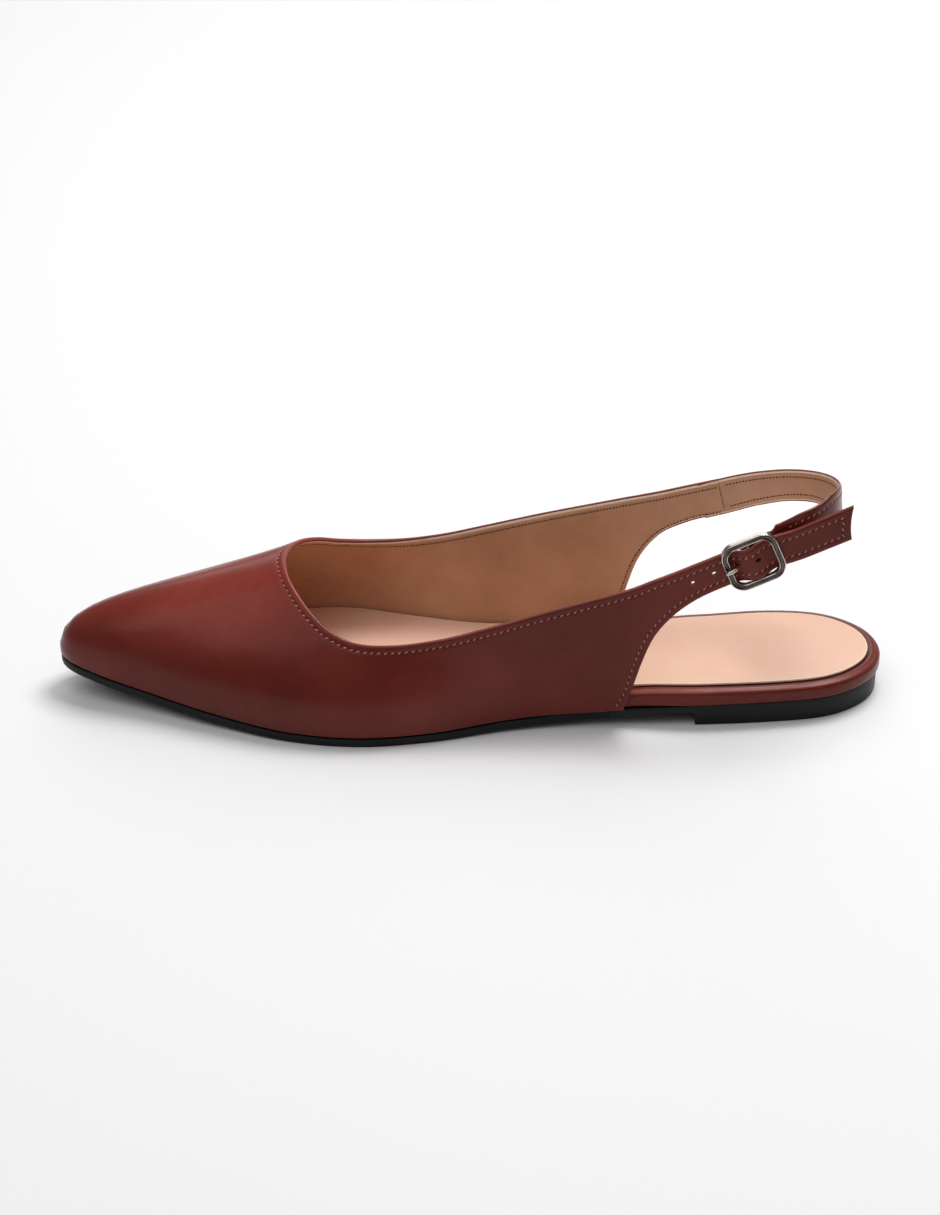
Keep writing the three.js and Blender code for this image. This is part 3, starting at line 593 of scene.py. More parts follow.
def strap_rib(s):
    """A rib of the strap, whose free tip hangs a little low, tapers and is cut on the slant."""
    free = ease(s, 0, TIP_END / 2)
    skew = TIP_SKEW * ease(s, TIP_END / 2, TIP_END)
    half = STRAP_WIDTH / 2 - TIP_TAPER * free
    lift = strap_lift(s)
    sag = (lift - UNDER_BAR) / (OVER_BAR - UNDER_BAR)
    foot = on_strap(s - 1.2 * skew, -half - (TIP_DROOP + 0.3) * free - 0.6 * sag, lift)
    top = on_strap(s + skew, half - TIP_DROOP * free - 0.7 * sag, lift)
    return rib(foot, top, STRAP_OUT)


def upper_ribs():
    ribs = []
    s = TIP_END
    while s > STRAP_START:
        ribs.append(strap_rib(s))
        s -= 2.1
    outward = Vector((0, 1, 0))
    for row in OUTER_WING:
        ribs.append(rib(Vector(row["foot"]), Vector(row["top"]), outward, row["tuck"]))
    first = len(ribs)
    for row in BODY:
        turn, shape = row["turn"], {k: row[k] for k in ("tuck", "rise", "lean", "reach", "sink")}
        made = rib(foot_on_sole(turn), Vector(row["top"]), outline_out(turn), **shape)
        ribs.append(dict(made, turn=turn))
    last = len(ribs) - 1
    for row in INNER_WING:
        ribs.append(rib(Vector(row["foot"]), Vector(row["top"]), -outward, row["tuck"]))
    way = 0.0
    ribs[0]["way"] = way
    for before, now in zip(ribs, ribs[1:]):
        way += ((now["foot"] - before["foot"]).length + (now["top"] - before["top"]).length) / 2
        now["way"] = way
    return ribs, first, last


def polyline_at(points, lengths, distance):
    """The point at a distance along a polyline, whose running lengths are given."""
    k = 1
    while k < len(points) - 1 and lengths[k] < distance:
        k += 1
    share = (distance - lengths[k - 1]) / max(lengths[k] - lengths[k - 1], 1e-9)
    return points[k - 1].lerp(points[k], share)


def running_lengths(points):
    lengths = [0.0]
    for a, b in zip(points, points[1:]):
        lengths.append(lengths[-1] + (b - a).length)
    return lengths


EDGE_ROUND = 0.75
NEAR_EDGE = (0.0, 0.3, 0.65, 1.0, 1.3, 1.5, 1.7, 1.95, 2.3, 2.9)
MIDDLE_ROWS = 16
RIB_STEPS = 40
TIP_HOLLOW = 0.65


def column_distances(length):
    """Distances down a rib from the topline: close together near both edges, even between them."""
    down = [EDGE_ROUND + d for d in NEAR_EDGE]
    up = [length - d for d in reversed(down)]
    between = [mix(down[-1], up[0], k / MIDDLE_ROWS) for k in range(1, MIDDLE_ROWS)]
    return down + between + up


def outer_face():
    """The upper's outer face as columns of points from the topline down, and the way to each column."""
    ribs, first, last = upper_ribs()
    body = ribs[first:last + 1]
    ways = [ribs[0]["way"]]
    for before, now in zip(ribs, ribs[1:]):
        steps = max(1, round((now["way"] - before["way"]) / 1.05))
        ways += [mix(before["way"], now["way"], k / steps) for k in range(1, steps + 1)]
    columns = []
    for way in ways:
        if way < body[0]["way"]:
            foot = smooth(ribs[:first + 1], "way", "foot", way)
        elif way > body[-1]["way"]:
            foot = smooth(ribs[last:], "way", "foot", way)
        else:
            foot = foot_on_sole(smooth(body, "way", "turn", way))
        top, low, high = (smooth(ribs, "way", name, way) for name in ("top", "low", "high"))
        hollow = STRAP_RUN * (TIP_HOLLOW * (1 - ease(way, 0, 9)))
        curve = []
        for k in range(RIB_STEPS + 1):
            t = k / RIB_STEPS
            point = top * (1 - t) ** 3 + (top + high) * (3 * t * (1 - t) ** 2)
            point += (foot + low) * (3 * t * t * (1 - t)) + foot * t ** 3
            curve.append(point - hollow * (1 - (2 * t - 1) ** 2))
        lengths = running_lengths(curve)
        columns.append([polyline_at(curve, lengths, d) for d in column_distances(lengths[-1])])
    return columns, ways


def grid_normals(columns):
    last, bottom = len(columns) - 1, len(columns[0]) - 1
    normals = []
    for i, column in enumerate(columns):
        row = []
        for j in range(len(column)):
            run = columns[min(i + 1, last)][j] - columns[max(i - 1, 0)][j]
            down = column[min(j + 1, bottom)] - column[max(j - 1, 0)]
            row.append(down.cross(run).normalized())
        normals.append(row)
    return normals


outer, ways = outer_face()
normals = grid_normals(outer)
face_sign = 1 if normals[0][5].dot(STRAP_OUT) > 0 else -1
normals = [[n * face_sign for n in row] for row in normals]

# The sewn edges, where the leather is thinned, folded and stitched down
tops = [column[0] + (column[0] - column[1]).normalized() * EDGE_ROUND for column in outer]
feet = [column[-1] + (column[-1] - column[-2]).normalized() * EDGE_ROUND for column in outer]
ribs, first_body, last_body = upper_ribs()
wing_out = [i for i, way in enumerate(ways) if way <= ribs[first_body]["way"] + 0.01]
wing_in = [i for i, way in enumerate(ways) if way >= ribs[last_body]["way"] - 0.01]
tip_cut = []
for k in range(1, 12):
    point = feet[0].lerp(tops[0], k / 12)
    hollow = TIP_HOLLOW * (1 - (k / 6 - 1) ** 2)
    tip_cut.append((point - STRAP_RUN * hollow, normals[0][10]))
long_edge = [(feet[i], normals[i][-1]) for i in reversed(wing_out)] + tip_cut
long_edge += [(tops[i], normals[i][0]) for i in range(len(outer))]
short_edge = [(feet[i], normals[i][-1]) for i in wing_in]
sewn = [point for point, normal in long_edge + short_edge]
sewn_tree = KDTree(len(sewn))
for k, point in enumerate(sewn):
    sewn_tree.insert(point, k)
sewn_tree.balance()

STITCH_IN = 2.4
STITCH_DIP = 0.13
FOLD_PUFF = 0.07
LINING_STEP = 0.14
# Main soft creases and hollows of the lasted leather, as lines from and to, half width and depth
CREASES = (
    ((-30, 30, 12), (-20, 30, 34), 5.0, 0.30),
    ((0, 34, 10), (12, 33, 26), 6.0, 0.30),
    ((34, 34, 12), (46, 30, 24), 4.5, 0.28),
    ((64, 22, 14), (58, 18, 34), 7.0, 0.22),
    ((-44, 28, 14), (-38, 28, 40), 4.0, 0.22),
    ((-20, -26, 14), (-14, -27, 34), 5.0, 0.28),
    ((30, -34, 14), (44, -28, 28), 5.0, 0.28),
)


def crease_depth(point):
    depth = 0.0
    for start, end, width, deep in CREASES:
        a, b = Vector(start), Vector(end)
        share = max(0.0, min(1.0, (point - a).dot(b - a) / (b - a).length_squared))
        gap = (point - a.lerp(b, share)).length
        depth += deep * math.exp(-((gap / width) ** 2))
    return depth


def stitched(gap, dip=STITCH_DIP, puff=FOLD_PUFF):
    """How far a sewn face stands out, at a distance in from its edge."""
    groove = dip * math.exp(-(((gap - STITCH_IN) / 0.4) ** 2))
    return puff * math.exp(-(((gap - STITCH_IN / 2) / 0.7) ** 2)) - groove


def rounded_edge(start, end, reach, steps=6):
    """Points over a folded edge, from one face to the other, standing out by reach at its middle."""
    middle = (start + end) / 2
    half = (start - end) / 2
    return [
        middle + half * math.cos(math.pi * k / steps) + reach * math.sin(math.pi * k / steps)
        for k in range(1, steps)
    ]


def upper_station(i):
    column, out = outer[i], normals[i]
    gaps = [sewn_tree.find(p)[2] for p in column]
    face = [p + n * (stitched(g) - crease_depth(p)) for p, n, g in zip(column, out, gaps)]
    lining = [
        p - n * (WALL - LINING_STEP + LINING_STEP * 2 * ease(g, 1.1, 1.35) + stitched(g, 0.1, 0.0))
        for p, n, g in zip(column, out, gaps)
    ]
    over = rounded_edge(lining[0], face[0], (column[0] - column[1]).normalized() * EDGE_ROUND)
    under = rounded_edge(face[-1], lining[-1], (column[-1] - column[-2]).normalized() * EDGE_ROUND)
    return face + under + lining[::-1] + over + [face[0]]


FACE_ROWS = len(outer[0])
UNDER_ROWS = 6
LINING_START = FACE_ROWS + UNDER_ROWS - 1
LINING_END = LINING_START + FACE_ROWS - 1


def upper_finish(j):
    """A row's finish: 0 brown leather, 1 tan lining, 2 the lining's pale cut edge, 4 the painted fold
    highlight.
    """
    if LINING_START + 1 <= j < LINING_END - 1:
        return 1
    if j == LINING_START or LINING_END - 1 <= j <= LINING_END:
        return 2
    if LINING_END + 2 <= j <= LINING_END + 4:
        return 4
    return 0


TAN_DARK = (0.44, 0.225, 0.125)
TAN = (0.53, 0.285, 0.165)
TAN_LIGHT = (0.62, 0.355, 0.215)
lining_paint = Paint("tan_lining", TAN, 0.5)
lining_paint.colour(lining_paint.noise(34, 5, 0.6), (0.3, TAN_DARK), (0.5, TAN), (0.75, TAN_LIGHT))
lining_paint.gloss(lining_paint.noise(70, 3), 0.42, 0.58)
lining_paint.bump(lining_paint.noise(45, 4), 0.25, 0.6)
lining_paint.bump(lining_paint.noise(70, 3, 0.6, stretch=(0.6, 1, 2.6)), 0.30, 0.5)
lining_paint.bump(lining_paint.cells(1100), 0.04, 0.7)

RAW = (0.20, 0.075, 0.05)
RAW_DARK = (0.13, 0.045, 0.03)
RAW_LIGHT = (0.27, 0.11, 0.075)
punched = Paint("punched_edge", RAW, 0.7)
punched.colour(punched.noise(900, 3), (0.3, RAW_DARK), (0.7, RAW_LIGHT))

upper = skin("upper_leather", [upper_station(i) for i in range(len(outer))], upper_finish, ways)
sewn_faces = BVHTree.FromPolygons(
    [v.co.copy() for v in upper.data.vertices], [list(p.vertices) for p in upper.data.polygons]
)
dress(
    upper,
    [brown.material, lining_paint.material, cut_edge.material, punched.material, fold_highlight.material],
    "upper_leather",
    "upper",
)

# Strap holes
# Four holes punched through the strap, the third of them round the prong. They are cut from the
# upper's own mesh, and their walls show the raw leather. Each has its place along the strap and radius.
HOLES = ((-19.0, 0.8), (-12.1, 0.8), (-4.9, 0.8), (1.75, 0.85))
HOLES_UP = 0.2
PUNCH_DEPTH = 12
RAW_FINISH = 3


def strap_matrix(s, t, lift):
    turn = Matrix((STRAP_RUN, STRAP_UP, STRAP_OUT)).transposed().to_4x4()
    return Matrix.Translation(on_strap(s, t, lift) * MM) @ turn


bm = bmesh.new()
for s, radius in HOLES:
    bmesh.ops.create_cone(
        bm, cap_ends=True, segments=28, radius1=radius * MM, radius2=radius * MM,
        depth=PUNCH_DEPTH * MM,
        matrix=strap_matrix(s, HOLES_UP, 0),
    )
for face in bm.faces:
    face.material_index = RAW_FINISH
punch_mesh = bpy.data.meshes.new("punch")
bm.to_mesh(punch_mesh)
bm.free()
punch = bpy.data.objects.new("punch", punch_mesh)
for material in upper.data.materials:
    punch.data.materials.append(material)
bpy.context.scene.collection.objects.link(punch)
cut = upper.modifiers.new("holes", "BOOLEAN")
cut.operation = "DIFFERENCE"
cut.object = punch
cut.solver = "EXACT"
graph = bpy.context.evaluated_depsgraph_get()
punched_mesh = bpy.data.meshes.new_from_object(upper.evaluated_get(graph))
upper.modifiers.clear()
upper.data = punched_mesh
bpy.data.objects.remove(punch)
bpy.data.meshes.remove(punch_mesh)

# Sling strap
# The heel strap of the same leather and lining. Its front end is sewn inside the inner quarter's
# stub; it is led round the back, inside the free tip, and folded round the buckle's centre bar.
SLING = table(
    "foot top",
    ((-74.0, -21.75, 46.4), (-71.0, -21.75, 58.3)),
    ((-80.5, -21.75, 48.1), (-77.5, -21.75, 60.2)),
    ((-91.2, -22.1, 50.9), (-89.6, -22.2, 62.5)),
    ((-99.6, -21.3, 52.6), (-99.4, -21.5, 63.6)),
    ((-107.0, -17.6, 54.0), (-107.0, -18.2, 64.6)),
    ((-111.6, -10.8, 55.2), (-111.2, -11.6, 66.4)),
    ((-113.2, -2.6, 57.4), (-112.6, -3.2, 68.6)),
    ((-112.8, 5.2, 59.6), (-111.6, 5.2, 70.8)),
    ((-110.2, 12.2, 61.0), (-108.4, 12.2, 72.2)),
    ((-106.2, 17.0, 60.4), (-103.8, 17.3, 71.2)),
)
LAYER = SLING_THICK + RUN_GAP
# Its fit in the buckle: a place along the strap, its edges up it, and the layers under the strap
SLING_FIT = table(
    "s high low under",
    (18.5, 7.1, -3.1, 0.15), (14.6, 6.2, -3.9, 0.75), (11.8, 5.8, -4.3, 1), (10.0, 5.6, -4.5, 1),
    (9.4, 4.9, -4.6, 1), (6.8, 4.6, -4.6, 1), (4.4, 4.6, -4.6, 1),
)
FOLD_HALF = 4.6
FOLD_TOP = 3.4


def under_strap(s, depth):
    slope = (strap_lift(s + 0.1) - strap_lift(s - 0.1)) / 0.2
    return strap_lift(s) - depth * math.hypot(1, slope)


def sling_through_buckle():
    under_tip = WALL + RUN_GAP + SLING_THICK / 2
    bend = CENTRE_BAR + RUN_GAP + SLING_THICK / 2
    path = [
        (row["s"], row["high"], row["low"], under_strap(row["s"], under_tip + LAYER * row["under"]))
        for row in SLING_FIT
    ]
    for k in range(9):
        angle = -math.pi / 2 - math.pi * k / 8
        lift = CENTRE_DROP + bend * math.sin(angle)
        path.append((bend * math.cos(angle), FOLD_HALF, -FOLD_HALF, lift))
    path += [
        (1.6 * k, FOLD_TOP, -FOLD_HALF, under_strap(1.6 * k, under_tip)) for k in range(1, 8)
    ]
    return path


def sling_middle():
    rows = [{"foot": Vector(row["foot"]), "top": Vector(row["top"])} for row in SLING]
    for s, high, low, lift in sling_through_buckle():
        rows.append({"foot": on_strap(s, low, lift), "top": on_strap(s, high, lift)})
    rows[0]["way"] = 0.0
    for before, now in zip(rows, rows[1:]):
        now["way"] = before["way"] + (now["foot"] - before["foot"]).length
    columns = []
    steps = int(rows[-1]["way"] / 0.7)
    for k in range(steps + 1):
        way = rows[-1]["way"] * k / steps
        columns.append((way, smooth(rows, "way", "foot", way), smooth(rows, "way", "top", way)))
    return columns


sling_columns = sling_middle()
ACROSS_IN = (0.6, 0.9, 1.2, 1.5, 1.8, 2.1, 2.4, 2.7, 3.1)


def sling_frame(k):
    way, foot, top = sling_columns[k]
    before = sling_columns[max(k - 1, 0)]
    after = sling_columns[min(k + 1, len(sling_columns) - 1)]
    run = (after[1] - before[1]) + (after[2] - before[2])
    return foot, top, run.normalized(), (top - foot).cross(run).normalized()


def sling_station(k):
    foot, top, run, out = sling_frame(k)
    width = (top - foot).length
    up = (top - foot).normalized()
    margin = ACROSS_IN[-1]
    inner = [margin + (width - 2 * margin) * n / 5 for n in range(1, 5)]
    places = list(ACROSS_IN) + inner + [width - d for d in reversed(ACROSS_IN)]
    half = SLING_THICK / 2
    face = [top - up * d + out * (half + stitched(min(d, width - d))) for d in places]
    back = [top - up * d - out * (half + stitched(min(d, width - d), 0.08, 0.0)) for d in places]
    over = rounded_edge(back[0], face[0], up * half)
    under = rounded_edge(face[-1], back[-1], -up * half)
    return face + under + back[::-1] + over + [face[0]]


SLING_ROWS = 2 * len(ACROSS_IN) + 4
SLING_BACK = SLING_ROWS + 5


def sling_finish(j):
    """A row's finish: 0 brown leather, 1 tan lining, 2 the lining's pale cut edge, 3 the painted fold
    highlight.
    """
    if SLING_BACK + 1 <= j < SLING_BACK + SLING_ROWS - 2:
        return 1
    if j == SLING_BACK or SLING_BACK + SLING_ROWS - 2 <= j < SLING_BACK + SLING_ROWS:
        return 2
    if SLING_BACK + SLING_ROWS + 1 <= j <= SLING_BACK + SLING_ROWS + 3:
        return 3
    return 0


sling = skin(
    "sling_leather",
    [sling_station(k) for k in range(len(sling_columns))],
    sling_finish,
    [way for way, foot, top in sling_columns],
)
dress(
    sling,
    [brown.material, lining_paint.material, cut_edge.material, fold_highlight.material],
    "upper_leather",
    "sling_strap",
)

# Stitching
# One row of lockstitch runs along every sewn edge, 2.4 mm in, or 1.4 mm at the inner quarter's back.
# Outside, a rosy thread lies between needle holes, drawn as near-black beads of painted shade; on
# the lining the stitches are dark and short.
STITCH_PITCH = 2.1
STEPS_PER_STITCH = 6
THREAD_SIZE = (1.3, 0.42, 0.36)
THREAD_SLANT = 28
LINING_THREAD_SIZE = (1.1, 0.40, 0.26)
LINING_THREAD_SLANT = 10
NEEDLE_HOLE_SIZE = (0.75, 0.62, 0.16)
SHORT_EDGE_IN = 1.4
SEAM_WAY = 6.3
SEAM_END_IN = 1.2
PAST_SEAM = 7.6
# How far off a face the search for it starts, and how far it goes
CAST_FROM = 2.5
CAST_REACH = 5

THREAD = (0.44, 0.165, 0.105)
THREAD_DARK = (0.38, 0.125, 0.08)
THREAD_LIGHT = (0.62, 0.27, 0.19)
thread = Paint("rosy_thread", THREAD, 0.6)
thread.colour(thread.noise(1800, 2), (0.3, THREAD_DARK), (0.7, THREAD_LIGHT))
thread.bump(thread.noise(5200, 2), 0.03)
# Painted shade: each needle hole is a near-black bead, standing in for the shade inside the hole.
NEEDLE_HOLE_SHADE = (0.016, 0.005, 0.004)
NEEDLE_SHADE_DARK = (0.010, 0.003, 0.003)
NEEDLE_SHADE_LIGHT = (0.03, 0.010, 0.008)
needle_hole_shade = Paint("needle_hole_painted_shade", NEEDLE_HOLE_SHADE, 0.8)
needle_hole_shade.colour(needle_hole_shade.noise(900, 2), (0.3, NEEDLE_SHADE_DARK), (0.7, NEEDLE_SHADE_LIGHT))
BROWN_THREAD = (0.11, 0.045, 0.025)
BROWN_THREAD_DARK = (0.07, 0.028, 0.016)
BROWN_THREAD_LIGHT = (0.17, 0.075, 0.042)
inner_thread = Paint("brown_thread", BROWN_THREAD, 0.65)
inner_thread.colour(inner_thread.noise(1800, 2), (0.3, BROWN_THREAD_DARK), (0.7, BROWN_THREAD_LIGHT))


def resample(places, step):
    """Even steps along a run of points that each carry a normal."""
    lengths = running_lengths([p for p, n in places])
    total = lengths[-1]
    count = max(2, int(total / step))
    made = []
    k = 1
    for m in range(count + 1):
        distance = total * m / count
        while k < len(places) - 1 and lengths[k] < distance:
            k += 1
        share = (distance - lengths[k - 1]) / max(lengths[k] - lengths[k - 1], 1e-9)
        point = places[k - 1][0].lerp(places[k][0], share)
        made.append((point, places[k - 1][1].lerp(places[k][1], share).normalized()))
    return made


def row_on_face(sewn_edge, lining, inset=STITCH_IN):
    """The stitch row's line, set in from a sewn edge of the upper and laid on its face or lining."""
    places = resample(sewn_edge, 0.4)
    sides = []
    for (a, n), (b, after) in zip(places[:-2], places[2:]):
        inward = n.cross(b - a).normalized()
        sides.append(1 if sewn_faces.find_nearest((a + inward) * MM)[3] < 0.6 * MM else -1)
    sign = 1 if sum(sides) > 0 else -1
    row = []
    for k in range(1, len(places) - 1):
        point, normal = places[k]
        inward = normal.cross(places[k + 1][0] - places[k - 1][0]).normalized() * sign
        spot = point + inward * inset
        if sewn_tree.find(spot)[2] < inset - 0.15:
            continue
        start = spot - normal * (WALL + CAST_FROM) if lining else spot + normal * CAST_FROM
        towards = normal if lining else -normal
        hit = sewn_faces.ray_cast(start * MM, towards, CAST_REACH * MM)[0]
        if hit is not None:
            row.append((hit / MM, -towards))
    return row


def sling_row(from_top, lining, first, last):
    row = []
    for k in range(first, last):
        foot, top, run, out = sling_frame(k)
        width = (top - foot).length
        up = (top - foot).normalized()
        inset = STITCH_IN if from_top else width - STITCH_IN
        side = -1 if lining else 1
        dip = 0.08 if lining else STITCH_DIP
        row.append((top - up * inset + out * side * (SLING_THICK / 2 - dip), out * side))
    return row


def column_past(way):
    return next(k for k, column in enumerate(sling_columns) if column[0] > way)


def seam_row(lining):
    foot, top, run, out = sling_frame(column_past(SEAM_WAY))
    up = (top - foot).normalized()
    side = -1 if lining else 1
    ends = [top - up * SEAM_END_IN, foot + up * SEAM_END_IN]
    return [(p + out * side * (SLING_THICK / 2 - 0.02), out * side) for p in ends]


def bead(bm, place, run, normal, size):
    """One small rounded bead: a few faces, as long, wide and deep as its size says."""
    side = normal.cross(run).normalized()
    turn = Matrix((run, side, normal)).transposed().to_4x4()
    matrix = Matrix.Translation(place * MM) @ turn @ Matrix.Diagonal((*[v * MM / 2 for v in size], 1))
    bmesh.ops.create_uvsphere(bm, u_segments=6, v_segments=5, radius=1, matrix=matrix)


def sew(name, rows, size, slant, paint):
    threads, holes = bmesh.new(), bmesh.new()
    for row in rows:
        if len(row) < 2:
            continue
        places = resample(row, STITCH_PITCH / STEPS_PER_STITCH)
        half = STEPS_PER_STITCH // 2
        for m in range(half, len(places) - half, STEPS_PER_STITCH):
            point, normal = places[m]
            run = (places[m + 1][0] - places[m - 1][0]).normalized()
            run = (run - normal * run.dot(normal)).normalized()
            slanted = Matrix.Rotation(math.radians(slant), 3, normal) @ run
            bead(threads, point + normal * 0.05, slanted, normal, size)
            hole, hole_normal = places[m + half]
            bead(holes, hole, run, hole_normal, NEEDLE_HOLE_SIZE)
    for kind, bm, finish in (("thread", threads, paint), ("holes", holes, needle_hole_shade)):
        for face in bm.faces:
            face.smooth = True
        mesh = bpy.data.meshes.new(name + "_" + kind)
        bm.to_mesh(mesh)
        bm.free()
        piece = bpy.data.objects.new(name + "_" + kind, mesh)
        bpy.context.scene.collection.objects.link(piece)
        dress(piece, [finish.material], "upper_leather")


def rows_of(lining):
    rows = [row_on_face(long_edge, lining), row_on_face(short_edge, lining, SHORT_EDGE_IN)]
    rows.append(seam_row(lining))
    rows.append(sling_row(True, lining, first_clear, in_buckle))
    rows.append(sling_row(False, lining, first_clear, in_buckle))
    return rows


# The sling's rows start past its seam and end where it goes under the buckle
first_clear = column_past(PAST_SEAM)
buckle_mouth = on_strap(11, -4.4, -5)
in_buckle = next(k for k, column in enumerate(sling_columns) if (column[1] - buckle_mouth).length < 1.5)
sew("outer_stitching", rows_of(False), THREAD_SIZE, THREAD_SLANT, thread)
sew("lining_stitching", rows_of(True), LINING_THREAD_SIZE, LINING_THREAD_SLANT, inner_thread)

# Buckle frame
# A die-cast rounded rectangle in polished gunmetal plating: bright bevels inside and out with a
# dished face between them, painted darker as its shade. The centre bar is set back behind it on
# its own bent ends.
GUNMETAL = (0.60, 0.53, 0.49)
GUNMETAL_DARK = (0.54, 0.48, 0.44)
GUNMETAL_LIGHT = (0.68, 0.61, 0.57)
gunmetal = Paint("gunmetal", GUNMETAL, 0.24, 1.0)
gunmetal.colour(gunmetal.noise(160, 3), (0.3, GUNMETAL_DARK), (0.7, GUNMETAL_LIGHT))
gunmetal.gloss(gunmetal.noise(900, 3), 0.18, 0.28)
# Painted shade: the dished face is the same plating made several times darker, as the shade in its hollow.
DISH_SHADE = (0.11, 0.095, 0.085)
DISH_SHADE_DARK = (0.075, 0.062, 0.055)
DISH_SHADE_LIGHT = (0.15, 0.13, 0.115)
dish_shade_metal = Paint("dish_painted_shade", DISH_SHADE, 0.35, 1.0)
dish_shade_metal.colour(dish_shade_metal.noise(220, 3), (0.3, DISH_SHADE_DARK), (0.7, DISH_SHADE_LIGHT))
dish_shade_metal.gloss(dish_shade_metal.noise(900, 3), 0.24, 0.40)

# The bar's section: how far in from the frame's outline, and how high
FRAME_SECTION = (
    (0.25, -1.0), (0.05, -0.9), (0.0, -0.6), (0.0, 0.4), (0.05, 0.72), (0.16, 0.93), (0.30, 1.0),
    (0.42, 0.93), (0.52, 0.70), (0.78, 0.48), (1.05, 0.42), (1.32, 0.48), (1.60, 0.70),
    (1.70, 0.93), (1.82, 1.0), (1.95, 0.93), (2.05, 0.72), (2.1, 0.4), (2.1, -0.6), (2.05, -0.9),
    (1.85, -1.0), (0.25, -1.0),
)
DISHED_ROWS = range(7, 13)


def rounded_loop(inset):
    r = FRAME_CORNER - inset
    a, b = FRAME_LENGTH / 2 - inset - r, FRAME_HEIGHT / 2 - inset - r
    points = []
    for corner, (cx, cy) in enumerate(((a, b), (-a, b), (-a, -b), (a, -b))):
        for k in range(13):
            angle = math.radians(90 * corner + 7.5 * k)
            points.append((cx + r * math.cos(angle), cy + r * math.sin(angle)))
    return points + [points[0]]


loops = [
    [on_strap(x + FRAME_ALONG, y, lift) for x, y in rounded_loop(inset)] for inset, lift in FRAME_SECTION
]
buckle = skin(
    "buckle_frame_metal",
    [list(column) for column in zip(*loops)],
    lambda j: 1 if j in DISHED_ROWS else 0,
)
dress(buckle, [gunmetal.material, dish_shade_metal.material], "buckle_metal", "buckle_frame")


def wire(name, rows, radius, count):
    """A bent wire with rounded ends: its rows give a step, and a place on the strap's own axes."""
    last_step = rows[-1]["step"]
    middle = []
    for k in range(count + 1):
        step = last_step * k / count
        place = [smooth(rows, "step", axis, step) for axis in ("s", "t", "lift")]
        middle.append(on_strap(*place))
    stations = []
    for k, point in enumerate(middle):
        run = (middle[min(k + 1, count)] - middle[max(k - 1, 0)]).normalized()
        side = run.cross(STRAP_OUT + STRAP_UP * 0.37).normalized()
        rise = side.cross(run)
        from_end = min(k, count - k)
        thick = radius * math.sqrt(max(0.03, 1 - max(0.0, 1 - from_end / 4) ** 2))
        ring = [math.radians(360 * a / 16) for a in range(17)]
        stations.append([point + (side * math.cos(a) + rise * math.sin(a)) * thick for a in ring])
    return skin(name, stations, lambda j: 0)


CENTRE_BAR_ROWS = table(
    "step s t lift",
    (0, 0, 7.2, -0.8), (1, 0, 6.7, -1.8), (2, 0, 6.0, -2.7), (3, 0, 5.1, -3.0), (5, 0, 2.5, -3.0),
    (9, 0, -2.5, -3.0), (11, 0, -5.1, -3.0), (12, 0, -6.0, -2.7), (13, 0, -6.7, -1.8),
    (14, 0, -7.2, -0.8),
)
centre_bar = wire("centre_bar_metal", CENTRE_BAR_ROWS, CENTRE_BAR, 56)
dress(centre_bar, [gunmetal.material], "buckle_metal")

# Buckle prong
# A bent wire prong in the same plating. Its eye turns on the centre bar, and its tip comes up
# through the strap's hole and rests on the frame's front bar.
PRONG_RADIUS = 0.66
EYE_RADIUS = 1.65
EYE_WIRE = 0.5
PRONG = table(
    "step s t lift",
    (0, -1.5, 0.2, -3.0), (1, -2.6, 0.2, -3.3), (2, -3.8, 0.2, -3.3), (3, -4.6, 0.2, -2.2),
    (4, -4.9, 0.2, -0.6), (5, -5.3, 0.2, 0.75), (6, -6.4, 0.2, 1.45), (7, -8.75, 0.2, 1.75),
)
prong = wire("buckle_prong_metal", PRONG, PRONG_RADIUS, 60)
dress(prong, [gunmetal.material], "buckle_metal", "buckle_prong")

bm = bmesh.new()
made = bmesh.ops.create_circle(bm, cap_ends=False, segments=12, radius=EYE_WIRE * MM)
bmesh.ops.translate(bm, verts=made["verts"], vec=(EYE_RADIUS * MM, 0, 0))
bmesh.ops.spin(
    bm, geom=bm.verts[:] + bm.edges[:], cent=(0, 0, 0), axis=(0, 1, 0), angle=2 * math.pi,
    steps=36, use_merge=True,
)
bmesh.ops.recalc_face_normals(bm, faces=bm.faces)
bmesh.ops.transform(bm, matrix=strap_matrix(0, HOLES_UP, CENTRE_DROP), verts=bm.verts)
for face in bm.faces:
    face.smooth = True
eye_mesh = bpy.data.meshes.new("prong_eye")
bm.to_mesh(eye_mesh)
bm.free()
prong_eye = bpy.data.objects.new("prong_eye", eye_mesh)
bpy.context.scene.collection.objects.link(prong_eye)
dress(prong_eye, [gunmetal.material], "buckle_metal")

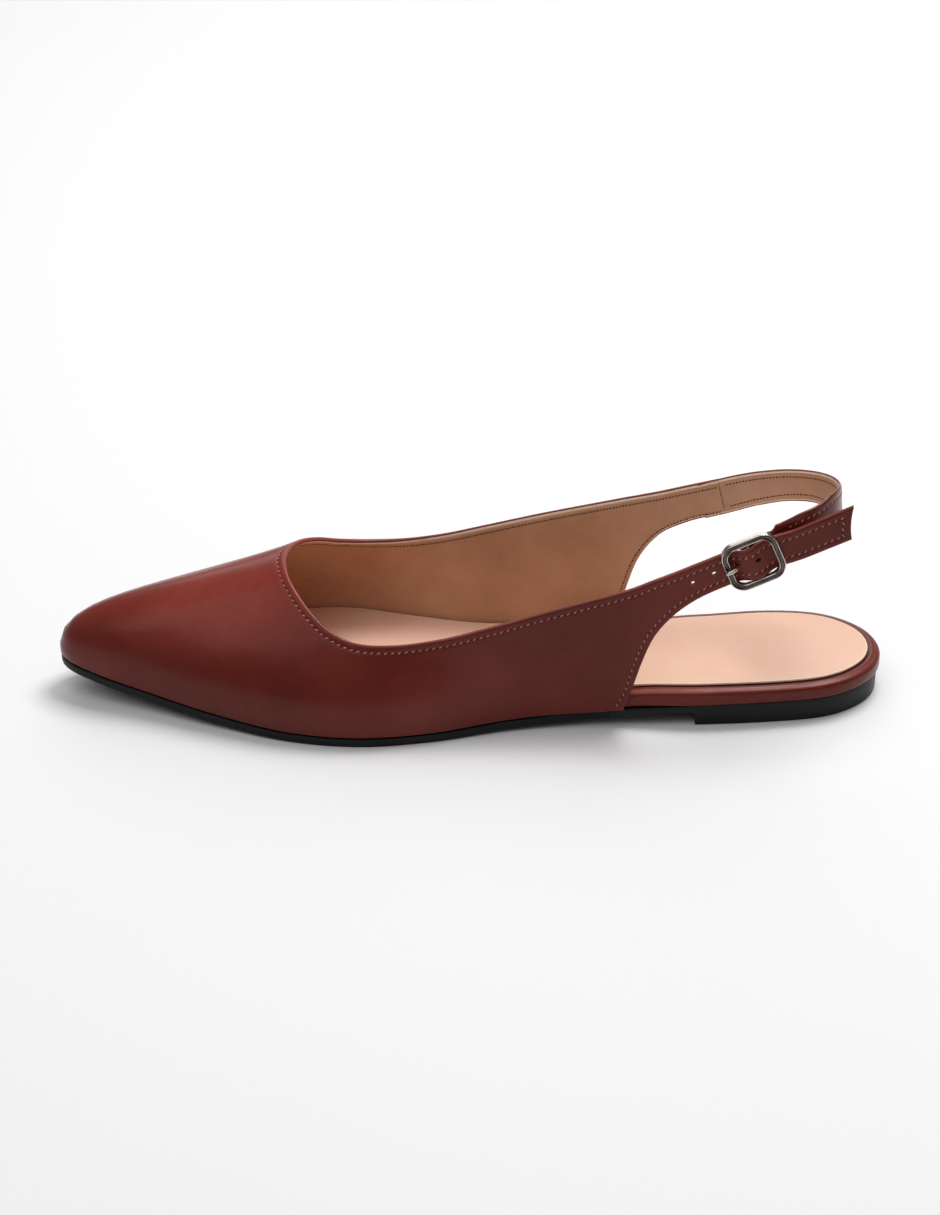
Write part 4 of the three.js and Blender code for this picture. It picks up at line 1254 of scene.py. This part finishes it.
# Stage
# A plain pale floor under three soft lights: a wide one overhead, one behind, and a smaller key over
# the heel that throws the shadow forward. The camera has the photograph's angle, 30 degrees up.
floor_paint = Paint("floor_paint", (0.93, 0.925, 0.93), 0.75)
bm = bmesh.new()
bmesh.ops.create_grid(bm, x_segments=1, y_segments=1, size=6)
floor_mesh = bpy.data.meshes.new("floor")
bm.to_mesh(floor_mesh)
bm.free()
floor = bpy.data.objects.new("floor", floor_mesh)
floor.data.materials.append(floor_paint.material)
bpy.context.scene.collection.objects.link(floor)


def soft_light(name, place, aim, size, power):
    lamp = bpy.data.lights.new(name, "AREA")
    lamp.shape = "SQUARE"
    lamp.size = size
    lamp.energy = power
    light = bpy.data.objects.new(name, lamp)
    light.location = place
    light.rotation_euler = (Vector(aim) - Vector(place)).to_track_quat("-Z", "Y").to_euler()
    bpy.context.scene.collection.objects.link(light)


soft_light("overhead", (0.35, 0.5, 1.35), (0, 0.05, 0), 1.5, 7.5)
soft_light("behind", (0.0, -1.35, 1.0), (0, 0, 0.02), 1.3, 8)
soft_light("key", (-0.40, -0.38, 1.26), (0, 0, 0.02), 0.6, 12)

world = bpy.data.worlds.new("studio")
world.use_nodes = True
world.node_tree.nodes["Background"].inputs["Color"].default_value = (0.98, 0.98, 1.0, 1)
world.node_tree.nodes["Background"].inputs["Strength"].default_value = 0.14
bpy.context.scene.world = world
bpy.context.scene.view_settings.view_transform = "Standard"

LOOK = Vector((0, 0.0085, 0.020))
ELEVATION = math.radians(30)
YAW = math.radians(0.5)
DISTANCE = 1.0
LENS = 95.55
SHIFT = (-0.0008, 0.0267)
level = Vector((math.sin(YAW), math.cos(YAW), 0))
back = level * math.cos(ELEVATION) + Vector((0, 0, math.sin(ELEVATION)))
camera_data = bpy.data.cameras.new("camera")
camera_data.sensor_width = 36
camera_data.lens = LENS
camera_data.shift_x, camera_data.shift_y = SHIFT
camera = bpy.data.objects.new("camera", camera_data)
camera.location = LOOK + back * DISTANCE
camera.rotation_euler = (-back).to_track_quat("-Z", "Y").to_euler()
bpy.context.scene.collection.objects.link(camera)
bpy.context.scene.camera = camera
